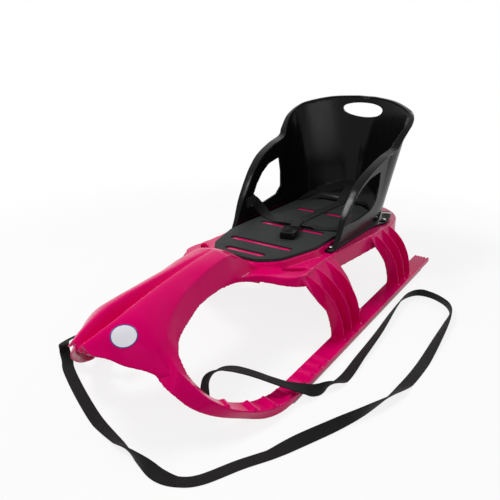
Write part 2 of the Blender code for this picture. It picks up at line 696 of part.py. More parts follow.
def make_shell():
    edge, outward, flange, foot = shell_curves(SHELL_STATIONS)
    wall_rings = []
    flange_rings = []
    for i in range(SHELL_STATIONS):
        column = [wall_point(edge[i], outward[i], flange[i], foot[i], v) for v in (0.0, 0.33, 0.66, 0.985)]
        half = outward[i] * SHELL_WALL / 2
        wall_rings.append([p - half for p in column] + [p + half for p in column[::-1]])
        ahead = edge[min(i + 1, SHELL_STATIONS - 1)] - edge[max(i - 1, 0)]
        if i == SHELL_STATIONS - 1:
            ahead = np.array([-1.0, 0, 0])
        inward = np.cross(outward[i], ahead)
        inward /= -np.linalg.norm(inward)
        inner = edge[i] - outward[i] * (flange[i] + SHELL_WALL / 2)
        flange_rings.append([inner, edge[i], edge[i] + inward * FLANGE_THICKNESS, inner + inward
                             * FLANGE_THICKNESS])

    def whole(rings):
        other = [[p * np.array([-1, 1, 1]) for p in ring] for ring in rings[-2::-1]]
        return rings + other

    shell = link("backrest", loft("wall", whole(wall_rings)), MATERIALS["black"])
    add(shell, loft("flange", whole(flange_rings)))
    half = foot_inner()[::-1] + list(FOOT_OUTER)
    outline = half + [(-x, y) for x, y in half[::-1]]
    add(shell, prism("foot", outline, -SIDE_DROP + GAP, -SIDE_DROP + GAP + FOOT_THICKNESS, tilted()))
    add(shell, make_ledge(edge, outward, flange, foot, 0.0))
    cut(shell, make_ledge(edge, outward, flange, foot, SHELL_WALL))
    slot = rounded([(-0.0135, CROTCH_SLOT_Y - CROTCH_SLOT_HALF), (0.0135, CROTCH_SLOT_Y - CROTCH_SLOT_HALF),
                    (0.0135, CROTCH_SLOT_Y + CROTCH_SLOT_HALF),
                    (-0.0135, CROTCH_SLOT_Y + CROTCH_SLOT_HALF)], 0.002, 3)
    cut(shell, prism("slot", slot, 0.155, 0.200))
    window = rounded(WINDOW, [0.005, 0, 0, 0, 0.02, 0.007, 0, 0.008, 0.004, 0], 4)
    belt_slot = [(BELT_SLOT_Y - 0.0016, LAP_LOOP_Z - WEB_WIDTH / 2 - 0.0015),
                 (BELT_SLOT_Y + 0.0016, LAP_LOOP_Z - WEB_WIDTH / 2 - 0.0015),
                 (BELT_SLOT_Y + 0.0016, LAP_LOOP_Z + WEB_WIDTH / 2 + 0.0015),
                 (BELT_SLOT_Y - 0.0016, LAP_LOOP_Z + WEB_WIDTH / 2 + 0.0015)]
    for opening in (window, belt_slot):
        for mesh in both_sides(prism("window", opening, 0.105, 0.135, lambda u, v, w: (w, u, v))):
            cut(shell, mesh)
    hole = []
    for k in range(14):
        a = math.pi * k / 14
        hole.append((GRIP_HOLE_HALF * math.cos(a), GRIP_HOLE_Z + 0.014 * math.sin(a) ** 0.8))
    for k in range(14):
        a = math.pi * k / 14
        hole.append((-GRIP_HOLE_HALF * math.cos(a), GRIP_HOLE_Z - 0.020 * math.sin(a)))
    cut(shell, prism("hole", hole, 0.44, 0.52, lambda u, v, w: (u, w, v)))
    for x, y in screw_places():
        cut(shell, screw_cylinder("hole", SCREW_SHANK_RADIUS + SCREW_CLEARANCE, -0.03, 0.02, x, y))
    finish_shading(shell)
    return shell


def make_ledge(edge, outward, flange, foot, inset):
    """The raised seat step in front of the back wall; with an inset it is the hollow below that step."""
    front = [(x + 0.0015 + inset * 0.4, y + 0.0015 + inset * 0.4) for x, y in foot_inner()[::-1][:2]]
    last = [i for i in range(SHELL_STATIONS) if foot[i][1] > front[1][1] + 0.012]
    base = front[0][1]
    top_at = lambda y: LEDGE_FRONT_Z - inset + (y - base) * LEDGE_SLOPE
    low_at = lambda y: side_z(y) + GAP + (-0.004 if inset else 0.0015)
    rings = []
    for share, setback in ((0.0, 0.0), (0.72, 0.0), (0.9, 0.0015), (1.0, 0.006)):
        arc = []
        for i in last:
            y = foot[i][1]
            up = 0.0
            for repeat in range(3):
                goal = low_at(y) + (top_at(y) - low_at(y)) * (1.0 if share == 1.0 else share)
                full = edge[i][2] - side_z(foot[i][1]) - GAP - 0.001
                up = (goal - side_z(foot[i][1]) - GAP - 0.001) / full
                point = wall_point(edge[i], outward[i], flange[i], foot[i], up) - outward[i] * inset
                y = point[1]
            arc.append((point[0], point[1], goal))
        half = []
        for x, y in front:
            y += setback
            half.append((x, y, low_at(y) + (top_at(y) - low_at(y)) * share))
        half += arc
        rings.append(half + [(-x, y, z) for x, y, z in half[-2::-1]])
    return loft("ledge", rings)


GRIP_HOLE_HALF = 0.050
GRIP_HOLE_Z = 0.354
FRONT_SCREW = (0.1066, 0.093)
BELT_SLOT_Y = 0.1255
REAR_SCREW = (0.1232, 0.334)


def screw_places():
    return [(side * x, y) for x, y in (FRONT_SCREW, REAR_SCREW) for side in (1, -1)]


def screw_cylinder(name, radius, low, high, x, y, sides=16):
    """An upright round piece whose levels are measured from the deck's lower side at its axis."""
    return cylinder(name, radius, side_z(y) + low, side_z(y) + high, x, y, sides)


def make_fasteners():
    heads = []
    nuts = []
    for x, y in screw_places():
        top = GAP + FOOT_THICKNESS + GAP + 0.0006
        if y > 0.2:
            top += WEB_THICKNESS + GAP
        reach = WALL + 0.0016 + NUT_HEIGHT + GAP + 0.001
        shank = link("shank", screw_cylinder("shank", SCREW_SHANK_RADIUS, -reach, top + 0.001, x, y, 12),
                     MATERIALS["steel"])
        dome = [(x, y, radius, height) for radius, height in
                ((SCREW_HEAD_RADIUS, 0.0), (SCREW_HEAD_RADIUS, 0.0012), (SCREW_HEAD_RADIUS * 0.8, 0.0022),
                 (SCREW_HEAD_RADIUS * 0.45, SCREW_HEAD_HEIGHT))]
        rings = [[(cx + r * math.cos(2 * math.pi * k / 20), cy + r * math.sin(2 * math.pi * k / 20),
                   side_z(y) + top + h) for k in range(20)] for cx, cy, r, h in dome]
        add(shank, loft("head", rings))
        long, thin = SCREW_HEAD_RADIUS * 0.5, SCREW_HEAD_RADIUS * 0.11
        cross = [(long, -thin), (long, thin), (thin, thin), (thin, long), (-thin, long), (-thin, thin),
                 (-long, thin), (-long, -thin), (-thin, -thin), (-thin, -long), (thin, -long),
                 (thin, -thin)]
        cut(shank, prism("cross", [(x + u, y + v) for u, v in cross], side_z(y) + top + 0.0013,
                         side_z(y) + top + 0.004))
        heads.append(shank.data.copy())
        bpy.data.objects.remove(shank)
        below = -WALL - 0.0006
        hexagon = [(x + NUT_RADIUS * math.cos(math.pi * k / 3), y + NUT_RADIUS
                    * math.sin(math.pi * k / 3)) for k in range(6)]
        nut = link("nut", prism("nut", hexagon, side_z(y) + below - NUT_HEIGHT, side_z(y) + below),
                   MATERIALS["steel"])
        cut(nut, screw_cylinder("hole", SCREW_SHANK_RADIUS + GAP, -0.03, 0.01, x, y, 12))
        nuts.append(nut.data.copy())
        bpy.data.objects.remove(nut)
    link_each("backrest_screw", heads, MATERIALS["steel"], 40)
    link_each("backrest_nut", nuts, MATERIALS["steel"], 40)


def rivet_places():
    first = RAIL_FRONT + 0.02
    last = RAIL_REAR - 0.02
    return [(RAIL_MIDDLE, first + (last - first) * k / (RIVETS_PER_RAIL - 1))
            for k in range(RIVETS_PER_RAIL)]


RAIL_MIDDLE = RUNNER_OUTSIDE - 0.0005 - RAIL_WIDTH / 2


def make_rails():
    half = RAIL_WIDTH / 2
    outline = rounded([(RAIL_MIDDLE - half, RAIL_FRONT), (RAIL_MIDDLE + half, RAIL_FRONT),
                       (RAIL_MIDDLE + half, RAIL_REAR), (RAIL_MIDDLE - half, RAIL_REAR)], 0.006, 5)
    for name, side in (("runner_rail_left", 1), ("runner_rail_right", -1)):
        mesh = prism("rail", outline, 0.0, RAIL_THICKNESS)
        if side < 0:
            other = mirrored(mesh)
            bpy.data.meshes.remove(mesh)
            mesh = other
        rail = link(name, mesh, MATERIALS["steel"])
        for x, y in rivet_places():
            cut(rail, cylinder("hole", RIVET_RADIUS + GAP, -0.01, 0.01, side * x, y))
        finish_shading(rail)
    pins = [cylinder("pin", RIVET_RADIUS, 0.0002, 0.0002 + RIVET_LENGTH, side * x, y, 12)
            for side in (1, -1) for x, y in rivet_places()]
    link_each("rail_rivet", pins, MATERIALS["steel"])


def ribbon(name, centre, across, width, thickness):
    """A flat band with a rectangular section along a line, its width turned to the given directions."""
    centre = np.asarray(centre, float)
    across = np.asarray(across, float)
    along = np.gradient(centre, axis=0)
    along /= np.linalg.norm(along, axis=1)[:, None]
    across = across - along * np.sum(across * along, axis=1)[:, None]
    across /= np.linalg.norm(across, axis=1)[:, None]
    up = np.cross(along, across)
    a = across * width / 2
    u = up * thickness / 2
    rings = np.stack([centre - a - u, centre + a - u, centre + a + u, centre - a + u], axis=1)
    return loft(name, rings)


# Buckle: its middle and the direction in which the tongue leaves it, then heights above the plateau
BUCKLE_PLACE = (0.024, 0.072)
BUCKLE_TURN = math.radians(14.5)
BUCKLE_BASE = MAT_THICKNESS + GAP
TONGUE_BASE = 0.0118
BUTTON_FLOOR = 0.0090
LAP_CROSSING = 0.0745
LOOP_WIDTH = 0.018
LOOP_FRONT = 0.0320
LOOP_REAR = 0.0906


def buckle_place(s, t, w):
    """From distance along the buckle, across it and above the plateau to the sled's coordinates."""
    x = BUCKLE_PLACE[0] - s * math.sin(BUCKLE_TURN) + t * math.cos(BUCKLE_TURN)
    y = BUCKLE_PLACE[1] + s * math.cos(BUCKLE_TURN) + t * math.sin(BUCKLE_TURN)
    return (x, y, deck_z(y) + w)


def buckle_box(name, s0, s1, half, low, high, radius=0.0):
    outline = [(s0, -half), (s1, -half), (s1, half), (s0, half)]
    if radius:
        outline = rounded(outline, radius, 4)
    return prism(name, outline, low, high, buckle_place)


def make_buckle():
    half = BUCKLE_LENGTH / 2 + 0.004
    outline = [(-half, -0.011), (-half + 0.004, -0.0145), (-0.004, -BUCKLE_WIDTH / 2),
               (half, -BUCKLE_WIDTH / 2 + 0.002),
               (half, BUCKLE_WIDTH / 2 - 0.002), (-0.004, BUCKLE_WIDTH / 2), (-half + 0.004, 0.0145),
               (-half, 0.011)]
    rings = []
    top = BUCKLE_BASE + BUCKLE_HEIGHT
    for level, scale in ((BUCKLE_BASE, 0.95), (BUCKLE_BASE + 0.0015, 1.0), (top - 0.0025, 1.0),
                         (top - 0.0008, 0.96), (top, 0.90)):
        rings.append([buckle_place(s * scale, t * scale, level) for s, t in rounded(outline, 0.003, 3)])
    housing = link("buckle_housing", loft("housing", rings), MATERIALS["black"])
    cut(housing, buckle_box("mouth", -0.001 - SLIDE_CLEARANCE, half + 0.01, TONGUE_WIDTH / 2
                            + SLIDE_CLEARANCE,
                            TONGUE_BASE - SLIDE_CLEARANCE, TONGUE_BASE + TONGUE_THICKNESS
                            + SLIDE_CLEARANCE))
    cut(housing, buckle_box("pocket", 0.004, half + 0.01, WEB_WIDTH / 2 + 0.0006, 0.0, BUCKLE_BASE
                            + WEB_THICKNESS + GAP))
    cut(housing, buckle_box("well", -0.0185 - SLIDE_CLEARANCE, -0.0185 + BUTTON_LENGTH + SLIDE_CLEARANCE,
                            BUTTON_WIDTH / 2 + SLIDE_CLEARANCE, BUTTON_FLOOR, 0.03, 0.002))
    finish_shading(housing)
    button_low = BUTTON_FLOOR + BUTTON_TRAVEL + 0.001
    button = link("buckle_button", buckle_box("button", -0.0185, -0.0185 + BUTTON_LENGTH, BUTTON_WIDTH / 2,
                                              button_low, top + 0.0012, 0.0018), MATERIALS["black"])
    for k in range(3):
        s = -0.0155 + k * 0.004
        cut(button, buckle_box("groove", s - 0.0006, s + 0.0006, BUTTON_WIDTH / 2 - 0.003, top + 0.0006,
                               top + 0.01))
    finish_shading(button)
    tongue = link("buckle_tongue", buckle_box("blade", 0.0, 0.030, TONGUE_WIDTH / 2, TONGUE_BASE,
                                              TONGUE_BASE + TONGUE_THICKNESS, 0.003), MATERIALS["black"])
    add(tongue, buckle_box("head", half + 0.0015, 0.0385, 0.0145, TONGUE_BASE, TONGUE_BASE
                           + TONGUE_THICKNESS, 0.002))
    cut(tongue, buckle_box("slot", 0.0308, 0.0350, LOOP_WIDTH / 2 + 0.0008, 0.0, 0.03))
    cut(tongue, buckle_box("catch", 0.004, 0.009, 0.0045, 0.0, 0.03))
    finish_shading(tongue)
    outer = rounded([(LOOP_FRONT, 0.0083), (LOOP_REAR, 0.0083), (LOOP_REAR, 0.0162),
                     (LOOP_FRONT, 0.0162)], 0.0035, 5)
    t = WEB_THICKNESS
    inner = rounded([(LOOP_FRONT + t, 0.0083 + t), (LOOP_REAR - t, 0.0083 + t), (LOOP_REAR - t, 0.0162 - t),
                     (LOOP_FRONT + t, 0.0162 - t)], 0.0019, 5)
    stand = lambda u, v, w: buckle_place(u, w, v)
    loop = link("tongue_loop", prism("loop", outer, -LOOP_WIDTH / 2, LOOP_WIDTH / 2, stand),
                MATERIALS["webbing"])
    cut(loop, prism("inside", inner, -LOOP_WIDTH, LOOP_WIDTH, stand))
    finish_shading(loop)


def make_crotch_strap():
    lie = BUCKLE_BASE + WEB_THICKNESS / 2
    points = [buckle_place(s, 0, lie) for s in (0.0048, 0.03, 0.06, 0.088)]
    for x, y in ((-0.005, 0.185), (-0.005, 0.230), (-0.003, 0.290), (-0.001, 0.340), (0.0, 0.366)):
        points.append((x, y, deck_z(y) + lie))
    points += [(0.0, 0.3705, 0.1506), (0.0, 0.3745, 0.1530), (0.0, 0.3775, 0.1585), (0.0, 0.3815, 0.1640),
               (0.0, 0.3870, 0.1670), (0.0, 0.3950, 0.1682), (0.0, 0.4040, 0.1696), (0.0, 0.4105, 0.1708),
               (0.0, 0.4138, 0.1700), (0.0, CROTCH_SLOT_Y + 0.0002, 0.1668), (0.0, CROTCH_SLOT_Y, 0.1600),
               (0.0, CROTCH_SLOT_Y, 0.1480)]
    centre = curve_through(points, 52)
    strap = link("crotch_strap", ribbon("strap", centre, [(1, 0, 0)] * 52, WEB_WIDTH, WEB_THICKNESS),
                 MATERIALS["webbing"])
    finish_shading(strap)
    z = 0.1500
    stop = link("strap_stop", prism("stop", rounded([(-0.017, CROTCH_SLOT_Y - 0.005),
                                                     (0.017, CROTCH_SLOT_Y - 0.005),
                                                     (0.017, CROTCH_SLOT_Y + 0.005),
                                                     (-0.017, CROTCH_SLOT_Y + 0.005)], 0.002, 3),
                                    z, z + 0.003), MATERIALS["black"])
    cut(stop, prism("slot", [(-WEB_WIDTH / 2 - GAP, CROTCH_SLOT_Y - WEB_THICKNESS / 2 - GAP),
                             (WEB_WIDTH / 2 + GAP, CROTCH_SLOT_Y - WEB_THICKNESS / 2 - GAP),
                             (WEB_WIDTH / 2 + GAP, CROTCH_SLOT_Y + WEB_THICKNESS / 2 + GAP),
                             (-WEB_WIDTH / 2 - GAP, CROTCH_SLOT_Y + WEB_THICKNESS / 2 + GAP)], z - 0.01, z
                    + 0.01))
    finish_shading(stop)


# Lap belt: its line on one side from the buckle's loop to the arm, with the direction of its width
LAP_LOOP_Z = 0.1935


def make_lap_belt():
    lie = 0.0101 + WEB_THICKNESS / 2
    rest = BUCKLE_BASE + WEB_THICKNESS / 2
    middle = buckle_place(LAP_CROSSING, 0, lie)
    flat = (0, 1, -DECK_FALL)
    arm = [(0.0520, 0.1490, deck_z(0.149) + rest + 0.0004), (0.0740, 0.1600, deck_z(0.160) + rest + 0.0008),
           (0.0900, 0.1670, 0.1640), (0.1010, 0.1680, 0.1715), (0.1065, 0.1640, 0.1810),
           (0.1090, 0.1580, 0.1890),
           (0.1096, 0.1500, LAP_LOOP_Z), (0.1097, 0.1400, LAP_LOOP_Z)]
    arm_across = [flat, (-0.05, 1, 0.0), (-0.2, 0.9, 0.3), (-0.25, 0.6, 0.7), (-0.1, 0.4, 1), (0, 0.2, 1),
                  (0, 0, 1),
                  (0, 0, 1)]
    mirror = np.array([-1, 1, 1])
    points = [np.array(p) * mirror for p in arm[::-1]]
    across = [np.array(a) * mirror for a in arm_across[::-1]]
    for x in (-0.0250, -0.0070, middle[0], 0.0250, 0.0400):
        y = middle[1] + 0.08 * (x - middle[0])
        points.append(np.array([x, y, deck_z(y) + lie + 0.0002]))
        across.append(np.array(flat))
    points += [np.array(p) for p in arm]
    across += [np.array(a) for a in arm_across]
    count = 57
    centre = curve_through(points, count)
    runs = np.concatenate([[0], np.cumsum(np.linalg.norm(np.diff(np.array(points), axis=0), axis=1))])
    place = np.linspace(0, runs[-1], count)
    turned = np.stack([np.interp(place, runs, [a[k] for a in across]) for k in range(3)], axis=1)
    belt = link("lap_belt", ribbon("belt", centre, turned, WEB_WIDTH, WEB_THICKNESS), MATERIALS["webbing"])
    low = LAP_LOOP_Z - WEB_WIDTH / 2
    t = WEB_THICKNESS
    x0, x1, y0, y1 = 0.1089, 0.1185, BELT_SLOT_Y - t / 2, 0.1590
    outer = rounded([(x0, y0), (x1, y0), (x1, y1), (x0, y1)], 0.003, 4)
    inner = rounded([(x0 + t, y0 + t), (x1 - t, y0 + t), (x1 - t, y1 - t), (x0 + t, y1 - t)], 0.0014, 4)
    for side in (1, -1):
        loop = link("loop", prism("loop", [(side * x, y) for x, y in outer], low, low + WEB_WIDTH),
                    MATERIALS["webbing"])
        cut(loop, prism("inside", [(side * x, y) for x, y in inner], low - 0.01, low + WEB_WIDTH + 0.01))
        add(belt, loop.data.copy())
        bpy.data.objects.remove(loop)
    finish_shading(belt)


def make_rear_straps():
    """A short strap under each rear screw with a steel keeper round its free part."""
    lie = -SIDE_DROP + GAP + FOOT_THICKNESS + GAP + WEB_THICKNESS / 2
    line = [(0.1235, 0.3240), (0.1230, 0.3400), (0.1208, 0.3560), (0.1165, 0.3720), (0.1103, 0.3870),
            (0.1025, 0.4010)]
    lift = [0.0, 0.0, 0.0012, 0.0022, 0.0022, 0.0014]
    for name, keeper_name, side in (("rear_strap_left", "strap_keeper_left", 1),
                                    ("rear_strap_right", "strap_keeper_right", -1)):
        points = [(side * x, y, deck_z(y) + lie + up) for (x, y), up in zip(line, lift)]
        centre = curve_through(points, 17)
        strap = link(name, ribbon("strap", centre, [(1, side * 0.35, 0)] * 17, WEB_WIDTH * 0.7,
                                  WEB_THICKNESS), MATERIALS["webbing"])
        x, y = REAR_SCREW
        cut(strap, screw_cylinder("hole", SCREW_SHANK_RADIUS + SCREW_CLEARANCE, -0.03, 0.03, side * x, y))
        finish_shading(strap)
        ahead = np.array([side * -0.36, 0.933])
        right = np.array([ahead[1], -ahead[0]])
        mid = np.array([side * 0.1133, 0.3800])

        def place(u, v, w, mid=mid, ahead=ahead, right=right):
            px, py = mid + right * u + ahead * w
            return (px, py, deck_z(py) + lie + 0.0022 + v)

        wide = WEB_WIDTH * 0.7 / 2
        outer = rounded([(-wide - 0.0022, -0.0026), (wide + 0.0022, -0.0026), (wide + 0.0022, 0.0030),
                         (-wide - 0.0022, 0.0030)], 0.001, 3)
        inner = [(-wide - 0.0007, -0.0012), (wide + 0.0007, -0.0012), (wide + 0.0007, 0.0015),
                 (-wide - 0.0007, 0.0015)]
        keeper = link(keeper_name, prism("keeper", outer, -0.003, 0.003, place), MATERIALS["steel"])
        cut(keeper, prism("inside", inner, -0.01, 0.01, place))
        finish_shading(keeper)


# Towing strap: its line from the left ring, over the runner, round the floor and back to the right
# ring. A fourth value of 1 or -1 lays it flat with that side up, 0 stands it on edge
FLAT = STRAP_THICKNESS / 2 + GAP
EDGE = STRAP_WIDTH / 2 + GAP
STRAP_FLOOR = ((0.2330, -0.1100, FLAT, 1), (0.2310, -0.0290, FLAT, 1), (0.2270, 0.0670, FLAT, 1),
               (0.2190, 0.1700, FLAT, 1), (0.2180, 0.2350, FLAT, 1), (0.2340, 0.2720, FLAT, 1),
               (0.2620, 0.2760, FLAT, 1), (0.2960, 0.2580, FLAT, 1), (0.3180, 0.2280, EDGE, 0),
               (0.3250, 0.1830, FLAT, -1), (0.3290, 0.1100, FLAT, -1), (0.3320, 0.0140, FLAT, -1),
               (0.3290, -0.0610, FLAT, -1), (0.3210, -0.1200, EDGE, 0), (0.3030, -0.1800, FLAT, 1),
               (0.2790, -0.2350, FLAT, 1), (0.2490, -0.2940, FLAT, 1), (0.2250, -0.3370, FLAT, 1),
               (0.2000, -0.3770, FLAT, 1), (0.1720, -0.4290, FLAT, 1), (0.1480, -0.4490, FLAT, 1),
               (0.1200, -0.4560, FLAT, 1), (0.0770, -0.4500, EDGE, 0), (0.0300, -0.4360, FLAT, -1),
               (-0.0290, -0.4160, FLAT, -1), (-0.0750, -0.3950, FLAT, -1), (-0.1310, -0.3660, FLAT, -1),
               (-0.1830, -0.3360, FLAT, -1))
STRAP_NEAR = ((0.1000, -0.3150, 0.0740), (0.1020, -0.2960, 0.0800), (0.1140, -0.2770, 0.0760),
              (0.1260, -0.2620, 0.0690),
              (0.1420, -0.2450, 0.0570), (0.1630, -0.2280, 0.0440), (0.1840, -0.2110, 0.0320),
              (0.2020, -0.1920, 0.0220),
              (0.2160, -0.1720, 0.0150))
STRAP_FAR = ((-0.2100, -0.3200, 0.0030), (-0.2270, -0.3100, 0.0090), (-0.2300, -0.3080, 0.0190),
             (-0.2200, -0.3150, 0.0320),
             (-0.2030, -0.3270, 0.0470), (-0.1780, -0.3370, 0.0660), (-0.1550, -0.3370, 0.0800),
             (-0.1380, -0.3240, 0.0870),
             (-0.1200, -0.3060, 0.0870), (-0.1040, -0.3050, 0.0810), (-0.0990, -0.3170, 0.0730))
STRAP_PLACE = 0.47


def band_frame(side, place=STRAP_PLACE):
    """The band's crease and rear edge where the strap leaves it, its run and the way off its face."""
    crease = curve_through(BAND_CREASE, 401)
    rear = curve_through(BAND_REAR, 401)
    k = int(place * 400)
    mirror = np.array([side, 1, 1])
    run = (rear[k + 4] - rear[k - 4]) * mirror
    run /= np.linalg.norm(run)
    back = (rear[k] - crease[k]) * mirror
    back /= np.linalg.norm(back)
    off = np.cross(run, back) * side
    off /= np.linalg.norm(off)
    if off[2] < 0:
        off = -off
    return crease[k] * mirror, rear[k] * mirror, run, back, off


def strap_pin(name, side, radius, low, high):
    """A round pin square to the band's top wall, where the strap's end is fastened; heights from its outer face."""
    _, rear, run, back, off = band_frame(side)
    centre = rear - back * 0.013
    outline = [(radius * math.cos(a), radius * math.sin(a)) for a in np.linspace(0, 2 * math.pi, 13)[:-1]]
    return prism(name, outline, low, high, lambda u, v, w: tuple(centre + run * u + back * v + off * w))


def make_strap_screws():
    """A screw with a broad flat head at each end of the pull strap, driven up into the band."""
    under = -(WALL + 2 * GAP + STRAP_THICKNESS)
    screws = []
    for side in (1, -1):
        screw = link("screw", strap_pin("head", side, STRAP_SCREW_HEAD_RADIUS, under - STRAP_SCREW_HEAD,
                                        under),
                     MATERIALS["steel"])
        add(screw, strap_pin("shank", side, STRAP_SCREW_RADIUS, under - 0.0005, -WALL + STRAP_SCREW_BITE))
        screws.append(screw.data)
        bpy.data.objects.remove(screw)
    link_each("pull_strap_screw", screws, MATERIALS["steel"])


def above_floor(centre, across):
    """Lifts the strap's line where its section, as turned there, would reach into the floor."""
    for _ in range(3):
        along = np.gradient(centre, axis=0)
        along /= np.linalg.norm(along, axis=1)[:, None]
        wide = across - along * np.sum(across * along, axis=1)[:, None]
        wide /= np.linalg.norm(wide, axis=1)[:, None]
        thick = np.cross(along, wide)
        reach = (np.abs(wide[:, 2]) * STRAP_WIDTH + np.abs(thick[:, 2]) * STRAP_THICKNESS) / 2 + GAP
        centre = np.column_stack([centre[:, :2], np.maximum(centre[:, 2], reach)])
    return centre


def make_pull_strap():
    points = []
    across = []
    ends = []
    for side in (1, -1):
        crease, rear, run, back, off = band_frame(side)
        under = off * -(WALL + GAP + STRAP_THICKNESS / 2)
        ends.append(([rear - back * 0.020 + under, rear - back * 0.006 + under, rear + back * 0.007
                      + under], run, off, back, rear))
    start, run, off, back, rear = ends[0]
    points += start
    across += [run] * 3
    turned = ((0.1, 0.55, -0.8), (-0.35, 0.75, -0.55), (-0.55, 0.75, -0.2), (-0.6, 0.75, 0), (-0.6, 0.8, 0),
              (-0.6, 0.8, 0), (-0.65, 0.75, 0.1), (-0.6, 0.5, 0.5), (-0.3, 0.3, 0.9))
    for point, way in zip(STRAP_NEAR, turned):
        points.append(np.array(point))
        across.append(np.array(way))
    floor = np.array([p[:3] for p in STRAP_FLOOR])
    along = np.gradient(floor, axis=0)
    for point, way, (_, _, _, lay) in zip(floor, along, STRAP_FLOOR):
        level = np.array([-way[1], way[0], 0]) / np.linalg.norm(way[:2])
        points.append(point)
        across.append(np.array([0, 0, 1.0]) if lay == 0 else level * -lay)
    last = across[-1]
    if last @ np.array([0.45, 0.9, 0]) < 0:
        side_way = np.array([-0.45, -0.9, 0])
    else:
        side_way = np.array([0.45, 0.9, 0])
    sign = 1 if side_way[1] > 0 else -1
    far_turn = [side_way] * 5 + [sign * np.array(v)
                                 for v in ((0.5, 0.85, 0), (0.65, 0.75, 0), (0.75, 0.6, 0.1),
                                                              (0.6, 0.55, 0.45), (0.35, 0.55, 0.7),
                                           (0.0, 0.55, 0.8))]
    for point, way in zip(STRAP_FAR, far_turn):
        points.append(np.array(point))
        across.append(np.array(way))
    end, run, off, back, rear = ends[1]
    if run @ across[-1] < 0:
        run = -run
    points += end[::-1]
    across += [run] * 3
    count = 150
    centre = curve_through(points, count)
    runs = np.concatenate([[0], np.cumsum(np.linalg.norm(np.diff(np.array(points), axis=0), axis=1))])
    place = np.linspace(0, runs[-1], count)
    turned = np.stack([np.interp(place, runs, [a[k] for a in across]) for k in range(3)], axis=1)
    centre = above_floor(centre, turned)
    strap = link("pull_strap", ribbon("strap", centre, turned, STRAP_WIDTH, STRAP_THICKNESS),
                 MATERIALS["webbing"])
    for side in (1, -1):
        cut(strap, strap_pin("hole", side, STRAP_SCREW_RADIUS + SCREW_CLEARANCE, -0.012, 0.0))
    finish_shading(strap, 50)
    return strap


def centre_pieces():
    """Moves every piece so that the origin is midway between the nose's tip and the backrest's rear."""
    pieces = [piece for piece in bpy.data.objects if piece.type == "MESH"]
    along = [vertex.co.y for piece in pieces if piece.name != "pull_strap"
             for vertex in piece.data.vertices]
    middle = (min(along) + max(along)) / 2
    for piece in pieces:
        piece.data.transform(Matrix.Translation((0, -middle, 0)))


for old in list(bpy.data.objects):
    bpy.data.objects.remove(old, do_unlink=True)

MATERIALS = {"body": material("body_plastic", MAGENTA, 0.25),
             "black": material("black_plastic", BLACK, 0.2),
             "mat": material("mat_rubber", CHARCOAL, 0.6),
             "webbing": material("webbing", WEBBING, 0.8),
             "steel": material("steel", STEEL, 0.3, 1.0)}

make_body()
make_mat()
make_shell()
make_fasteners()
make_rails()
make_buckle()
make_crotch_strap()
make_lap_belt()
make_rear_straps()
make_pull_strap()
make_strap_screws()
centre_pieces()
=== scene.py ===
"""Dresses the toddler sled: a moulded body on two runners, a bucket seat, a mat, a belt and a pull strap."""
import math

import bmesh
import bpy
import numpy as np
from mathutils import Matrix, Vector
from mathutils.bvhtree import BVHTree


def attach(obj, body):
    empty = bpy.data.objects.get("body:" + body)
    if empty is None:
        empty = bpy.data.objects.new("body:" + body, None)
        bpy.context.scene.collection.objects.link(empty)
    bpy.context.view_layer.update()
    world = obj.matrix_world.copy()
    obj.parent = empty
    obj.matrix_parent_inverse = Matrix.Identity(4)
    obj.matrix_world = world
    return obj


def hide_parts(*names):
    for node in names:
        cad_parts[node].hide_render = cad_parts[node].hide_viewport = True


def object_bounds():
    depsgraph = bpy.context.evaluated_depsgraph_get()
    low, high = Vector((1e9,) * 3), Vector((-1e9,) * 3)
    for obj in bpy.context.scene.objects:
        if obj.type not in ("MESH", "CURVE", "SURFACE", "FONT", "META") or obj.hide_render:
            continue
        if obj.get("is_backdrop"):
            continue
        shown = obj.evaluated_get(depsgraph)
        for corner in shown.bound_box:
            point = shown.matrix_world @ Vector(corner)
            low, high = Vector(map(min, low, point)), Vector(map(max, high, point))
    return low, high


bl_info = {
    "name": "Toddler sled",
    "version": (1, 0, 0),
    "blender": (4, 5, 0),
    "location": "3D View > Sidebar > Sled",
    "description": "Makes a plastic toddler sled with a bucket seat, a belt and a pull strap",
    "category": "Object",
}

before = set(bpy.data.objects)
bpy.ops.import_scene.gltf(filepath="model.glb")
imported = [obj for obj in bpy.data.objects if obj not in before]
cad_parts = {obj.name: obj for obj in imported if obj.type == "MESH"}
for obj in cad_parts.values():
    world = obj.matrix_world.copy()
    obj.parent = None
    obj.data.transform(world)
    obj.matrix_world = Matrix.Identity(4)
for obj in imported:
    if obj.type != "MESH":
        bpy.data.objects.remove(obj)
CAD_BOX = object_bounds()

# The photograph's frame: its side and the fitted focal length in pixels, and Blender's sensor
PICTURE_SIDE, FOCAL_PIXELS, SENSOR = 500, 620, 36.0

# The tables' origin lies this far in front of the sled's middle, where the solids have theirs
MIDDLE = 0.010

# Sizes that the sled's solids also have, in metres
WALL = 0.004
RUNNER_OUTSIDE, RUNNER_WIDTH, RUNNER_TOP = 0.196, 0.036, 0.0127
REAR_END = 0.475
BOTTOM = 0.0021
DECK_HEIGHT, DECK_FALL, SIDE_DROP, DECK_SKIRT = 0.159, 0.0457, 0.012, 0.034
PLATEAU_MARGIN = 0.004
MAT_THICKNESS, MAT_FRONT, MAT_REAR, MAT_HALF_WIDTH, MAT_CORNER = 0.006, -0.080, 0.374, 0.097, 0.045
SEAT_CLEARANCE = 0.001
SHELL_WALL, FLANGE_THICKNESS, FOOT_THICKNESS = 0.0035, 0.004, 0.004
GAP = 0.0003
WEB_WIDTH, WEB_THICKNESS = 0.022, 0.0016
STRAP_WIDTH, STRAP_THICKNESS = 0.020, 0.0018

# Sizes of the scene's own shapes
SLOT_WIDTH = 0.0175
RIB_THICKNESS = 0.003
BODY_PASSES, BODY_TRIANGLES = 7, 190000


# ---- shapes ----

